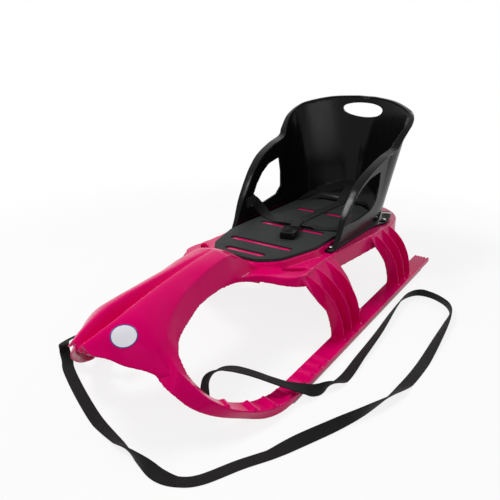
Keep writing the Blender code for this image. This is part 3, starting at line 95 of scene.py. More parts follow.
def deck_z(y):
    """Height of the plateau's top: a plane that falls to the rear."""
    return DECK_HEIGHT - DECK_FALL * y


def side_z(y):
    """Height of the deck's top beside the plateau."""
    return deck_z(y) - SIDE_DROP


def smooth(stations, values, at):
    """Cubic pieces through the stations, with limited slopes so that nothing overshoots."""
    stations = np.asarray(stations, float)
    values = np.asarray(values, float)
    at = np.clip(np.asarray(at, float), stations[0], stations[-1])
    step = np.diff(stations)
    rise = np.diff(values) / step
    slope = np.zeros(len(stations))
    slope[0], slope[-1] = rise[0], rise[-1]
    before, after = rise[:-1], rise[1:]
    same_way = before * after > 0
    slope[1:-1] = np.where(same_way, 2 * before * after / np.where(same_way, before + after, 1), 0)
    k = np.clip(np.searchsorted(stations, at, side="right") - 1, 0, len(step) - 1)
    h = step[k]
    t = (at - stations[k]) / h
    low = values[k] * (1 + 2 * t) * (1 - t) ** 2 + slope[k] * h * t * (1 - t) ** 2
    return low + values[k + 1] * t ** 2 * (3 - 2 * t) - slope[k + 1] * h * t ** 2 * (1 - t)


def distances(points):
    """Length of the line up to each of its points: the running sum of the steps' lengths."""
    steps = np.diff(np.asarray(points, float), axis=0)
    return np.concatenate([[0], np.cumsum(np.linalg.norm(steps, axis=1))])


def curve_through(points, count):
    """Evenly spaced points of the Catmull-Rom curve through the given ones, taken by chord length."""
    points = np.asarray(points, float)
    along = distances(points)
    place = np.linspace(0, along[-1], count)
    k = np.clip(np.searchsorted(along, place, side="right") - 1, 0, len(points) - 2)
    t = ((place - along[k]) / (along[k + 1] - along[k]))[:, None]
    padded = np.vstack([2 * points[0] - points[1], points, 2 * points[-1] - points[-2]])
    before, start, end, after = padded[k], padded[k + 1], padded[k + 2], padded[k + 3]
    return 0.5 * (2 * start + (end - before) * t + (2 * before - 5 * start + 4 * end - after) * t ** 2
                  + (3 * start - before - 3 * end + after) * t ** 3)


def spread(points, values, count):
    """Values given at a line's points, read off at even steps along it."""
    along = distances(points)
    values = np.asarray(values, float)
    place = np.linspace(0, along[-1], count)
    return np.stack([np.interp(place, along, column) for column in values.T], axis=1)


def unit(vectors):
    """The vectors divided by their lengths."""
    return vectors / np.linalg.norm(vectors, axis=-1, keepdims=True)


def rounded(corners, radii, steps=10):
    """An outline whose corners are replaced by arcs of the given radii. Corners that turn by less than
    about two degrees stay."""
    result = []
    for i, radius in enumerate(radii):
        here = np.array(corners[i], float)
        back = unit(np.array(corners[i - 1], float) - here)
        ahead = unit(np.array(corners[(i + 1) % len(corners)], float) - here)
        half = math.acos(max(-1, min(1, back @ ahead))) / 2
        if radius <= 0 or half > 1.55:
            result.append(here[None])
            continue
        middle = here + unit(back + ahead) * radius / math.sin(half)
        start = here + back * radius / math.tan(half) - middle
        end = here + ahead * radius / math.tan(half) - middle
        a = np.linspace(0, math.atan2(start[0] * end[1] - start[1] * end[0], start @ end), steps + 1)
        result.append(middle + np.stack([start[0] * np.cos(a) - start[1] * np.sin(a),
                                         start[0] * np.sin(a) + start[1] * np.cos(a)], axis=1))
    return np.vstack(result)


def rectangle(x0, x1, y0, y1):
    """The corners of an upright rectangle, in order."""
    return [(x0, y0), (x1, y0), (x1, y1), (x0, y1)]


def bar(x, half, y0, y1):
    """A rectangle by its middle line across and half of its width."""
    return rectangle(x - half, x + half, y0, y1)


def with_mirror(half, shared=0):
    """One half of a line or of a stack of rings, carried on by its mirror image in X in reverse order,
    without the last points again that both halves share."""
    flip = np.ones(half.shape[-1])
    flip[0] = -1
    return np.concatenate([half, half[::-1][shared:] * flip])


def centred(points):
    """From the tables' coordinates to the sled's own, whose origin is its middle."""
    return np.asarray(points, float) - np.array([0.0, MIDDLE, 0.0])


def turn_outwards(mesh):
    """Turns a mesh's faces outwards."""
    work = bmesh.new()
    work.from_mesh(mesh)
    bmesh.ops.recalc_face_normals(work, faces=work.faces)
    work.to_mesh(mesh)
    work.free()


def closed_mesh(name, vertices, faces):
    """A mesh from vertices in the tables' coordinates and faces, which are turned outwards."""
    mesh = bpy.data.meshes.new(name)
    mesh.from_pydata(centred(vertices).tolist(), [], faces)
    turn_outwards(mesh)
    return mesh


def lofted(name, rings):
    """A closed solid: rings of equally many points joined in order and capped at both ends."""
    rings = np.asarray(rings, float)
    count, size = rings.shape[:2]
    i = np.arange(count - 1)[:, None] * size
    j = np.arange(size)[None, :]
    k = (j + 1) % size
    quads = np.stack([i + j, i + k, i + size + k, i + size + j], axis=-1).reshape(-1, 4).tolist()
    caps = [list(range(size)), list(range((count - 1) * size, count * size))]
    return closed_mesh(name, rings.reshape(-1, 3), quads + caps)


def tilted(u, v, w):
    """Places a plan so that w is the height above the plateau's plane."""
    return np.stack([u, v, deck_z(v) + w], axis=-1)


def upright(u, v, w):
    """Places a plan so that w is the height above the floor."""
    return np.stack([u, v, w], axis=-1)


def prism(name, outline, low, high, place=tilted):
    """A plan outline carried from one level to another, then placed by a function."""
    outline = np.asarray(outline, float)
    levels = [np.full(len(outline), level) for level in (low, high)]
    return lofted(name, [place(outline[:, 0], outline[:, 1], level) for level in levels])


def corners(mesh):
    """The number of the vertex at each corner of the mesh's faces."""
    found = np.empty(len(mesh.loops), dtype=np.int64)
    mesh.loops.foreach_get("vertex_index", found)
    return found


def mirrored(mesh):
    """The same mesh on the other side of X = 0."""
    other = mesh.copy()
    points = np.empty(len(other.vertices) * 3)
    other.vertices.foreach_get("co", points)
    points[::3] *= -1
    other.vertices.foreach_set("co", points)
    other.flip_normals()
    return other


def both_sides(mesh):
    """The mesh and its mirror image."""
    return [mesh, mirrored(mesh)]


def add_object(name, mesh):
    """A new object of the scene that holds the mesh."""
    part = bpy.data.objects.new(name, mesh)
    bpy.context.scene.collection.objects.link(part)
    return part


def settle(part):
    """Puts the outcome of an object's modifiers into its mesh."""
    bpy.context.view_layer.update()
    result = bpy.data.meshes.new_from_object(part.evaluated_get(bpy.context.evaluated_depsgraph_get()))
    part.modifiers.clear()
    old = part.data
    part.data = result
    bpy.data.meshes.remove(old)


def combine(part, mesh, operation):
    """Joins a closed mesh to a part, or takes it out of the part, and uses it up."""
    tool = add_object("tool", mesh)
    step = part.modifiers.new("step", "BOOLEAN")
    step.operation, step.solver, step.object = operation, "MANIFOLD", tool
    settle(part)
    bpy.data.objects.remove(tool)
    bpy.data.meshes.remove(mesh)


def add(part, mesh):
    combine(part, mesh, "UNION")


def cut(part, mesh):
    combine(part, mesh, "DIFFERENCE")


def moulded(part, cell, passes, most):
    """Rounds every edge and inner corner of a closed solid a little, as a mould does, and thins its mesh."""
    remesh = part.modifiers.new("even", "REMESH")
    remesh.mode, remesh.voxel_size = "VOXEL", cell
    soften = part.modifiers.new("soften", "SMOOTH")
    soften.factor, soften.iterations = 0.5, passes
    settle(part)
    triangles = sum(len(face.vertices) - 2 for face in part.data.polygons)
    if triangles > most:
        thin = part.modifiers.new("thin", "DECIMATE")
        thin.ratio = most / triangles
        settle(part)
    part.data.shade_smooth()


def bevelled(part, width, steps, angle, sharp):
    """Rounds the edges that turn by more than one angle, and keeps those sharp that still turn by more
    than the other. Both are in degrees."""
    bevel = part.modifiers.new("rounded edges", "BEVEL")
    bevel.width, bevel.segments, bevel.limit_method = width, steps, "ANGLE"
    bevel.angle_limit = math.radians(angle)
    settle(part)
    part.data.shade_smooth()
    part.data.set_sharp_from_angle(angle=math.radians(sharp))


def softened_copy(name, node, width):
    """A CAD node's solid with its loose triangles joined and its edges rounded."""
    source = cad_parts[node]
    part = add_object(name, source.data.copy())
    work = bmesh.new()
    work.from_mesh(part.data)
    bmesh.ops.remove_doubles(work, verts=work.verts, dist=0.00001)
    bmesh.ops.dissolve_limit(work, angle_limit=math.radians(1), verts=work.verts, edges=work.edges)
    work.to_mesh(part.data)
    work.free()
    bevelled(part, width, 3, 30, 40)
    return part


def hand_in(part, body, slot_name, finish, *nodes):
    """Gives a finished piece its material and its body, and hides the CAD nodes that it stands for."""
    part.data.materials.clear()
    part.data.materials.append(finish)
    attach(part, body)
    if nodes:
        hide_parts(*nodes)


# ---- sled body ----

# Hood, one row per station: place along, half the width and the depth of the middle gutter, the lobes'
# crest, the side crease's place across and height, and the lower edge's
HOOD = (
    (-0.082, 0.003, 0.0002, 0.157, 0.046, 0.156, 0.052, 0.124),
    (-0.102, 0.003, 0.0002, 0.177, 0.036, 0.172, 0.046, 0.133),
    (-0.13, 0.003, 0.0004, 0.196, 0.032, 0.188, 0.045, 0.144),
    (-0.16, 0.004, 0.001, 0.205, 0.032, 0.2, 0.045, 0.152),
    (-0.2, 0.006, 0.003, 0.205, 0.033, 0.198, 0.045, 0.156),
    (-0.25, 0.008, 0.006, 0.203, 0.036, 0.19, 0.048, 0.155),
    (-0.29, 0.01, 0.01, 0.201, 0.042, 0.1835, 0.055, 0.1465),
    (-0.32, 0.012, 0.013, 0.199, 0.049, 0.175, 0.063, 0.14),
    (-0.346, 0.014, 0.016, 0.197, 0.059, 0.164, 0.075, 0.135),
    (-0.362, 0.015, 0.018, 0.195, 0.066, 0.157, 0.088, 0.124),
    (-0.38, 0.0155, 0.02, 0.193, 0.07, 0.152, 0.094, 0.114),
    (-0.397, 0.016, 0.021, 0.19, 0.063, 0.151, 0.083, 0.115),
    (-0.412, 0.0155, 0.02, 0.187, 0.051, 0.154, 0.067, 0.125),
    (-0.43, 0.0135, 0.017, 0.183, 0.037, 0.159, 0.05, 0.136),
    (-0.445, 0.0115, 0.014, 0.179, 0.028, 0.163, 0.038, 0.15),
    (-0.4625, 0.0075, 0.0085, 0.1745, 0.017, 0.167, 0.0235, 0.1605))
# Teeth in the nose's mouth: place across and height of the top
NOSE_TEETH = ((-0.009, 0.1700), (0.0, 0.1650), (0.009, 0.1700))
TOOTH_HALF, TOOTH_FRONT, TOOTH_REAR, TOOTH_FOOT = 0.0016, -0.4610, -0.4250, 0.1560

# Ring band and bend of the runner on the left side: the outer crease, the rear edge and the lower edge
BAND_CREASE = (
    (0.05, -0.338, 0.16), (0.065, -0.3575, 0.1585), (0.0745, -0.371, 0.1445), (0.084, -0.376, 0.133),
    (0.098, -0.3775, 0.1185), (0.113, -0.37, 0.1), (0.129, -0.362, 0.0815), (0.143, -0.3505, 0.066),
    (0.16, -0.328, 0.046), (0.178, -0.297, 0.031), (0.188, -0.27, 0.0235), (0.1935, -0.241, 0.018),
    (0.1955, -0.21, 0.0145), (0.196, -0.17, 0.0127))
BAND_REAR = (
    (0.058, -0.325, 0.136), (0.074, -0.343, 0.1355), (0.085, -0.3555, 0.1275), (0.092, -0.358, 0.1185),
    (0.0985, -0.359, 0.1085), (0.104, -0.352, 0.09), (0.112, -0.341, 0.07), (0.121, -0.327, 0.052),
    (0.133, -0.303, 0.035), (0.147, -0.274, 0.0235), (0.1535, -0.252, 0.0185), (0.158, -0.23, 0.0155),
    (0.16, -0.205, 0.0135), (0.16, -0.17, 0.0127))
BAND_LOW = (
    (0.045, -0.372, 0.135), (0.066, -0.402, 0.127), (0.079, -0.4015, 0.112), (0.09, -0.399, 0.099),
    (0.104, -0.394, 0.086), (0.117, -0.381, 0.066), (0.129, -0.36, 0.046), (0.142, -0.336, 0.03),
    (0.158, -0.303, 0.0135), (0.176, -0.278, 0.0045), (0.187, -0.258, 0.0025), (0.193, -0.237, 0.0022),
    (0.1955, -0.208, 0.0022), (0.196, -0.17, 0.0022))
# Left half of the deck's plan from the hood's rear to the tail, and the lower edge of its skirt in front
DECK_HALF = (
    (0.044, -0.135), (0.051, -0.117), (0.064, -0.103), (0.084, -0.095), (0.105, -0.089), (0.121, -0.075),
    (0.127, -0.052), (0.124, -0.02), (0.122, 0.04), (0.126, 0.1), (0.133, 0.18), (0.139, 0.26), (0.141, 0.33),
    (0.134, 0.385), (0.11, 0.43), (0.075, 0.46), (0.035, 0.472), (0.0, 0.4735))
FRONT_ARCH_Y = (-0.160, -0.130, -0.112, -0.088, -0.066, -0.050, -0.040, -0.030)
FRONT_ARCH_Z = (0.1480, 0.1440, 0.1400, 0.1345, 0.1290, 0.1245, 0.1200, 0.1135)
# Legs: the wall's place across, front and rear at LEG_Z, and each fin's place along at its foot and head
LEG_Z = (0.008, 0.030, 0.065, 0.100, 0.125, 0.1445)
FRONT_LEG = {"x": (0.1625, 0.1610, 0.1570, 0.1490, 0.1370, 0.1200),
             "front": (-0.006, -0.003, -0.018, -0.048, -0.062, -0.066),
             "rear": (0.134, 0.112, 0.098, 0.084, 0.074, 0.070),
             "fins": ((-0.003, -0.050), (0.032, -0.008), (0.071, 0.036))}
REAR_LEG = {"x": (0.1625, 0.1610, 0.1580, 0.1530, 0.1460, 0.1370),
            "front": (0.279, 0.284, 0.270, 0.245, 0.226, 0.220),
            "rear": (0.434, 0.410, 0.384, 0.357, 0.340, 0.334),
            "fins": ((0.285, 0.240), (0.322, 0.282), (0.358, 0.322))}
# Fins: how far they stand out from the wall at FIN_Z
FIN_Z = (0.008, 0.030, 0.060, 0.090, 0.115, 0.134, 0.150)
FIN_BOW = (0.0255, 0.0270, 0.0270, 0.0240, 0.0190, 0.0120, 0.0030)
FIN_THICKNESS = 0.0045
# Ribs of the deck that show in the mat's slots: place across and along, and half the length
CROSS_RIBS = (
    (0.0, -0.053, 0.043), (0.0, 0.003, 0.068), (-0.0405, 0.127, 0.0345), (0.0405, 0.127, 0.0345),
    (-0.036, 0.267, 0.028), (0.036, 0.267, 0.028))
# Ribs under the deck: place of the long ones across, and of the short ones along
LONG_RIB_X = (-0.058, 0.058)
SHORT_RIB_Y = (-0.030, 0.045, 0.120, 0.200, 0.275, 0.350)
# Foot ridges: their height, and each one's place along
RIDGE_HEIGHT = 0.0052
FOOT_RIDGES = (-0.087, -0.111, -0.139, -0.169, -0.216, -0.253, -0.287, -0.325)
# Hand slot: half the length, the two sides' bulges, the turn in degrees and the place
GRIP_HALF, GRIP_BULGES, GRIP_TURN, GRIP_PLACE = 0.025, (0.00992, 0.00608), 42, (0.0985, -0.0400)
# Comb at the runner's rear end: number of grooves, half their width, their length and depth
COMB_GROOVES, GROOVE_HALF, GROOVE_LENGTH, GROOVE_DEPTH = 4, 0.0016, 0.022, 0.004


def hood_solid():
    """The hood's shell. Across a section: half a cosine from the gutter's floor to the crest, then a
    falling power curve to the side crease, then a straight strip to the lower edge; the inside is the
    same section scaled in by one wall and sunk."""
    stations, *tables = np.array(HOOD)[::-1].T
    y = np.linspace(stations[-1], stations[0], 130)[:, None]
    gutter, depth, crest, crease_x, crease_z, edge_x, edge_z = (smooth(stations, row, y) for row in tables)
    a = np.linspace(0, 1, 7)[None, :]
    b = np.linspace(0, 1, 17)[None, 1:]
    c = np.linspace(0, 1, 8)[None, 1:]
    x = np.hstack([gutter * a, gutter + (crease_x - gutter) * b, crease_x + (edge_x - crease_x) * c])
    z = np.hstack([crest - depth * (0.5 + 0.5 * np.cos(np.pi * a)), crest + (crease_z - crest) * b ** 1.7,
                   crease_z + (edge_z - crease_z) * c])
    wall = np.minimum(WALL, np.minimum(0.45 * edge_x, 0.5 * (crest - edge_z)))
    sink = np.hstack([np.full_like(a, 1.5), 1.35 - 0.35 * b, 1.0 - c])
    inner_x = x * (1 - wall / edge_x)
    inner_z = z - wall * sink
    ring_x = np.hstack([-x[:, :0:-1], x, inner_x[:, ::-1], -inner_x[:, 1:]])
    ring_z = np.hstack([z[:, :0:-1], z, inner_z[:, ::-1], inner_z[:, 1:]])
    return lofted("hood", np.stack([ring_x, np.broadcast_to(y, ring_x.shape), ring_z], axis=-1))


def band_solid():
    """A runner and the ring that curls from its front up to the hood: an angled section, top face and
    front face, that fills up to a solid bar between 15 and 21 parts in 26 of the way to the runner."""
    steps = 170
    crease, rear, low = (curve_through(line, steps) for line in (BAND_CREASE, BAND_REAR, BAND_LOW))
    fill = np.clip((np.linspace(0, 26, steps) - 15) / 6, 0, 1)[:, None]
    back = unit(rear - crease)
    down = unit(low - crease)
    height = np.linalg.norm(low - crease, axis=1, keepdims=True)
    under = rear + down * (WALL + (height - WALL) * fill * 0.97)
    corner = crease + back * WALL + down * WALL
    corner = corner + ((under + low) / 2 - corner) * fill
    lip = low + back * WALL * (1 - 0.5 * fill)
    middle = (crease + rear) / 2
    rings = np.stack([crease, middle, rear, under, corner, lip, low], axis=1)
    rings[:, :, 2] = np.maximum(rings[:, :, 2], BOTTOM)
    inside = RUNNER_OUTSIDE - RUNNER_WIDTH
    centre = RUNNER_OUTSIDE - RUNNER_WIDTH / 2
    section = np.array([(RUNNER_OUTSIDE, RUNNER_TOP), (centre, RUNNER_TOP), (inside, RUNNER_TOP),
                        (inside, BOTTOM), (centre, BOTTOM), (RUNNER_OUTSIDE - 0.002, BOTTOM),
                        (RUNNER_OUTSIDE, BOTTOM)])
    y = np.linspace(-0.14, REAR_END, 60)
    across, up = (np.tile(section[:, k], (60, 1)) for k in (0, 1))
    runner = np.stack([across, np.tile(y[:, None], (1, 7)), up], axis=-1)
    return lofted("band", np.concatenate([rings, runner]))


def deck_outline(inset=0.0):
    """Plan of the deck, one curve from the hood round the tail, moved in square to itself."""
    half = curve_through(DECK_HALF, 150)
    along = unit(np.gradient(half, axis=0))
    half = half + inset * np.stack([-along[:, 1], along[:, 0]], axis=1)
    half[-1, 0] = 0
    return with_mirror(half, 1)


def plateau_outline(margin=0.0):
    """Plan of the mat, or of the plateau round it when a margin is given."""
    half = np.array([(0.040, MAT_FRONT), (0.073, -0.052), (MAT_HALF_WIDTH, 0.045),
                     (MAT_HALF_WIDTH, MAT_REAR - MAT_CORNER), (MAT_HALF_WIDTH - MAT_CORNER, MAT_REAR)])
    half[:, 0] += margin
    half[:, 1] += np.where(half[:, 1] > 0.5 * (MAT_FRONT + MAT_REAR), margin, -margin)
    radii = [0.030, 0.060, 0.080, 0.020, 0.020]
    return rounded(with_mirror(half), radii + radii[::-1], 14)


def slot_outline(x, y, half, width):
    """A round-ended slot across the sled."""
    a = np.linspace(-np.pi / 2, np.pi / 2, 12)
    reach = half - SLOT_WIDTH / 2
    right = np.stack([x + reach + width / 2 * np.cos(a), y + width / 2 * np.sin(a)], axis=1)
    left = np.stack([x - reach - width / 2 * np.cos(a), y - width / 2 * np.sin(a)], axis=1)
    return np.vstack([right, left])


def deck_solids():
    """The deck's plate, its skirt with the arch over the leg opening, the raised plateau and the ribs."""
    outline = deck_outline()
    inner = deck_outline(WALL)
    low = np.full(len(outline), -SIDE_DROP - DECK_SKIRT)
    arch = smooth(FRONT_ARCH_Y, FRONT_ARCH_Z, outline[:, 1]) - deck_z(outline[:, 1])
    low = np.where(outline[:, 1] < FRONT_ARCH_Y[-1], np.maximum(low, arch), low)
    side = np.stack([tilted(outline[:, 0], outline[:, 1], np.full(len(low), -SIDE_DROP)),
                     tilted(outline[:, 0], outline[:, 1], low), tilted(inner[:, 0], inner[:, 1], low),
                     tilted(inner[:, 0], inner[:, 1], np.full(len(low), -SIDE_DROP))], axis=1)
    solids = [prism("plate", outline, -SIDE_DROP - WALL, -SIDE_DROP), lofted("skirt", side)]
    sunk = 0.002
    rings = []
    for t in (0.0, 0.25, 0.5, 0.72, 0.88, 0.97, 1.0):
        o = plateau_outline(PLATEAU_MARGIN + 0.0035 * (1 - t) ** 2)
        rings.append(tilted(o[:, 0], o[:, 1], np.full(len(o), -SIDE_DROP - sunk + (SIDE_DROP + sunk) * t)))
    solids.append(lofted("plateau", rings))
    hollow = prism("hollow", plateau_outline(PLATEAU_MARGIN - WALL), -SIDE_DROP - 0.02, -WALL)
    ribs = []
    thin = RIB_THICKNESS / 2
    for x in LONG_RIB_X:
        for rear, top in ((MAT_REAR - MAT_CORNER, -WALL + 0.001), (0.445, -SIDE_DROP - WALL + 0.0012)):
            ribs.append(prism("rib", bar(x, thin, -0.062, rear), -SIDE_DROP - 0.020, top))
    for y in SHORT_RIB_Y:
        reach = 0.072 if y < 0 else 0.118
        ribs.append(prism("rib", rectangle(-reach, reach, y - thin, y + thin), -SIDE_DROP - 0.0169,
                          -SIDE_DROP - WALL + 0.0017))
    return solids, hollow, ribs


def leg_solids(leg):
    """A leg's wall and its three bowed fins, as stacks of level sections."""
    sink = lambda y, z: DECK_FALL * y * np.maximum(0.0, (z - LEG_Z[0]) / (LEG_Z[-1] - LEG_Z[0]))
    z = np.linspace(LEG_Z[0], LEG_Z[-1], 60)
    x, front, rear = (smooth(LEG_Z, leg[key], z) for key in ("x", "front", "rear"))
    place = lambda px, py: np.stack([px, py, z - sink(py, z)], axis=1)
    wall = np.stack([place(x - WALL / 2, front), place(x + WALL / 2, front), place(x + WALL / 2, rear),
                     place(x - WALL / 2, rear)], axis=1)
    solids = [lofted("wall", wall)]
    z = np.linspace(FIN_Z[0], LEG_Z[-1] - 0.001, 60)
    for foot, head in leg["fins"]:
        y = foot + (head - foot) * ((z - FIN_Z[0]) / (FIN_Z[-1] - FIN_Z[0])) ** 1.3
        inside = smooth(LEG_Z, leg["x"], z) - WALL / 4
        outside = inside + smooth(FIN_Z, FIN_BOW, z)
        level = z - sink(y, z)
        half = FIN_THICKNESS / 2
        tip = half * 0.8
        section = [(inside, y - half), (outside, y - tip), (outside, y + tip), (inside, y + half)]
        lines = [np.stack([px, py, level], axis=1) for px, py in section]
        solids.append(lofted("fin", np.stack(lines, axis=1)))
    return solids


def ridge_solids():
    """Foot ridges: wedges across the runner that climb with it, each with a sine-shaped back."""
    run = np.linspace(-0.16, 0.05, 80)[:, None]
    lines = ((BAND_CREASE, RUNNER_OUTSIDE), (BAND_REAR, RUNNER_OUTSIDE - RUNNER_WIDTH))
    crease, rear = (np.vstack([curve_through(line, 400),
                               np.hstack([np.full((80, 1), x), run, np.full((80, 1), RUNNER_TOP)])])
                    for line, x in lines)
    start, end = -0.0135, 0.0045
    solids = []
    for place in FOOT_RIDGES:
        k = int(np.argmin(np.abs((crease[200:, 1] + rear[200:, 1]) / 2 - place))) + 200
        outer, inner = crease[k], rear[k]
        ahead = min(k + 6, len(crease) - 1)
        way = unit(crease[ahead] + rear[ahead] - crease[k - 6] - rear[k - 6])
        across = unit(inner - outer)
        up = unit(np.cross(way, across))
        up = up if up[2] > 0 else -up
        t = np.linspace(0, 1, 14)
        profile = np.stack([start + 0.018 * t, RIDGE_HEIGHT * np.sin(np.pi * t ** 2.2) - 0.0002], axis=1)
        profile = np.vstack([profile, [(end, -0.003), (start, -0.003)]])
        feet = [outer + across * 0.0035, inner - across * 0.0030]
        solids.append(lofted("ridge", [foot + way * profile[:, :1] + up * profile[:, 1:] for foot in feet]))
    return solids


def grip_outline(margin=0.0):
    """The hand slot's lens: two arcs of different bulge, turned towards the leg."""
    a = np.linspace(0, np.pi, 30)[:-1]
    half = GRIP_HALF + margin
    lens = np.vstack([sign * np.stack([half * np.cos(a), (bulge + margin) * np.sin(a)], axis=1)
                      for sign, bulge in zip((-1, 1), GRIP_BULGES)])
    turn = math.radians(GRIP_TURN)
    turned = lens @ np.array([[math.cos(turn), math.sin(turn)], [-math.sin(turn), math.cos(turn)]])
    return turned + np.array(GRIP_PLACE)


# ---- back shell ----

# The shell's edge on the left side, from the arm's foot to the middle of the top. At each of its points:
# the way outwards in degrees from +X towards +Y, the flange's width, and the plan of the wall's foot
SHELL_EDGE = (
    (0.122, 0.082, 0.1475), (0.1235, 0.094, 0.165), (0.1245, 0.101, 0.18), (0.126, 0.112, 0.2),
    (0.128, 0.128, 0.22), (0.13, 0.146, 0.24), (0.133, 0.169, 0.26), (0.139, 0.21, 0.281),
    (0.143, 0.265, 0.296), (0.146, 0.319, 0.305), (0.149, 0.334, 0.318), (0.153, 0.362, 0.339),
    (0.153, 0.384, 0.35), (0.147, 0.408, 0.361), (0.131, 0.43, 0.371), (0.083, 0.466, 0.382),
    (0.028, 0.492, 0.385), (0.0, 0.495, 0.385))
SHELL_TURN = (0, 0, 0, 0, 0, 0, 0, 0, 2, 6, 12, 25, 38, 52, 64, 75, 86, 90)
SHELL_FLANGE = (
    0.008, 0.009, 0.01, 0.012, 0.014, 0.015, 0.016, 0.017, 0.017, 0.016, 0.015, 0.013, 0.012, 0.011, 0.01,
    0.009, 0.008, 0.008)
SHELL_FOOT = (
    (0.1128, 0.084), (0.1128, 0.096), (0.1128, 0.104), (0.1128, 0.116), (0.1128, 0.132), (0.1128, 0.15),
    (0.1128, 0.172), (0.1128, 0.212), (0.1128, 0.258), (0.1126, 0.294), (0.112, 0.306), (0.1105, 0.324),
    (0.106, 0.345), (0.096, 0.366), (0.085, 0.38), (0.056, 0.41), (0.02, 0.435), (0.0, 0.44))
# The arm's window from the side, as distance along and height, and the foot's outer edge in plan
WINDOW = (
    (0.141, 0.181), (0.158, 0.207), (0.173, 0.225), (0.2, 0.244), (0.233, 0.257), (0.284, 0.262),
    (0.288, 0.228), (0.284, 0.194), (0.26, 0.18), (0.205, 0.176))
FOOT_OUTER = (
    (0.116, 0.072), (0.1165, 0.12), (0.117, 0.2), (0.118, 0.268), (0.1235, 0.302), (0.13, 0.322),
    (0.1312, 0.342), (0.1245, 0.362), (0.116, 0.378), (0.106, 0.394), (0.086, 0.41), (0.06, 0.428),
    (0.034, 0.446))
FOOT_REAR = (0.0, 0.4530)
# Seat step: height of the top's front edge, and its rise per metre towards the back wall
LEDGE_FRONT_Z, LEDGE_SLOPE = 0.158, 0.42
CROTCH_SLOT_Y, CROTCH_SLOT_HALF = 0.4145, (0.0135, 0.004)
BELT_SLOT_Y, BELT_SLOT_HALF = 0.1255, 0.0016
# Grip hole in the back: half the width, height of the middle, and how far it reaches up and down from it
HOLE_HALF, HOLE_Z, HOLE_UP, HOLE_DOWN = 0.050, 0.357, 0.013, 0.020
SHELL_STEPS = 170


def shell_lines():
    """Edge, outward direction, flange width and foot of the back shell at even steps along its edge."""
    edge = curve_through(SHELL_EDGE, SHELL_STEPS)
    along = distances(SHELL_EDGE)
    place = np.linspace(0, along[-1], SHELL_STEPS)
    turn = np.radians(smooth(along, SHELL_TURN, place))
    flange = smooth(along, SHELL_FLANGE, place)
    foot = np.stack([smooth(along, [p[k] for p in SHELL_FOOT], place) for k in (0, 1)], axis=1)
    outward = np.stack([np.cos(turn), np.sin(turn), np.zeros(SHELL_STEPS)], axis=1)
    return edge, outward, flange, foot


def wall_middle(lines, share):
    """The wall's middle: a straight rule from its foot, share 0, to the flange, share 1."""
    edge, outward, flange, foot = lines
    low = np.column_stack([foot, side_z(foot[:, 1]) + GAP + 0.001])
    high = edge - outward * flange[:, None]
    return low[:, None] + (high - low)[:, None] * share[..., None]


def shell_solids():
    """The wall, and the flange that folds out from its top with rounded rims."""
    lines = shell_lines()
    edge, outward, flange, _ = lines
    share = np.linspace(0, 0.985, 36)
    column = wall_middle(lines, np.tile(share, (SHELL_STEPS, 1)))
    half = outward[:, None] * SHELL_WALL / 2
    wall = np.concatenate([column - half, (column + half)[:, ::-1]], axis=1)
    ahead = np.gradient(edge, axis=0)
    ahead[-1] = (-1, 0, 0)
    inward = -unit(np.cross(outward, ahead))
    length = (flange + SHELL_WALL / 2)[:, None]
    radius = 0.0019
    quarter = np.linspace(0, np.pi / 2, 7)
    a = np.concatenate([quarter - np.pi / 2, quarter, quarter + np.pi / 2, quarter + np.pi])[None, :]
    side = np.repeat([0, 0, 1, 1], 7)[None, :]
    top = np.repeat([0, 1, 1, 0], 7)[None, :]
    u = np.where(side == 0, -radius, -length + radius) + radius * np.cos(a)
    v = np.where(top == 0, radius, FLANGE_THICKNESS - radius) + radius * np.sin(a)
    rim = edge[:, None] + outward[:, None] * u[..., None] + inward[:, None] * v[..., None]
    return lofted("wall", with_mirror(wall, 1)), lofted("flange", with_mirror(rim, 1))


def seat_corner():
    """Both ends of the plateau's rear corner on the left, a clearance outside it."""
    side = MAT_HALF_WIDTH + PLATEAU_MARGIN + SEAT_CLEARANCE
    rear = MAT_REAR + PLATEAU_MARGIN + SEAT_CLEARANCE
    return np.array([(side - MAT_CORNER, rear), (side, rear - MAT_CORNER)])


def ledge_solid(inset):
    """The raised seat step in front of the back wall, or with an inset the hollow below it: level rings
    whose outer arc runs on the wall's middle, at heights found by four repeats."""
    lines = shell_lines()
    foot = lines[3]
    front = seat_corner() + 0.0015 + inset * 0.4
    kept = foot[:, 1] > front[1, 1] + 0.012
    part = tuple(line[kept] for line in lines)
    base = front[0, 1]
    top_at = lambda y: LEDGE_FRONT_Z - inset + (y - base) * LEDGE_SLOPE
    low_at = lambda y: side_z(y) + GAP + (-0.004 if inset else 0.0015)
    start = side_z(part[3][:, 1]) + GAP + 0.001
    rings = []
    for share, setback in ((0.0, 0.0), (0.4, 0.0), (0.62, 0.0003), (0.76, 0.001), (0.87, 0.0024),
                           (0.95, 0.0046), (1.0, 0.008)):
        y = part[3][:, 1]
        for _ in range(4):
            goal = low_at(y) + (top_at(y) - low_at(y)) * share
            up = (goal - start) / (part[0][:, 2] - start)
            point = wall_middle(part, up[:, None])[:, 0] - part[1] * inset
            y = point[:, 1]
        arc = np.column_stack([point[:, :2], goal])
        fy = front[:, 1] + setback
        head = np.column_stack([front[:, 0], fy, low_at(fy) + (top_at(fy) - low_at(fy)) * share])
        rings.append(with_mirror(np.vstack([head, arc]), 1))
    return lofted("ledge", rings)


# ---- webbing ----

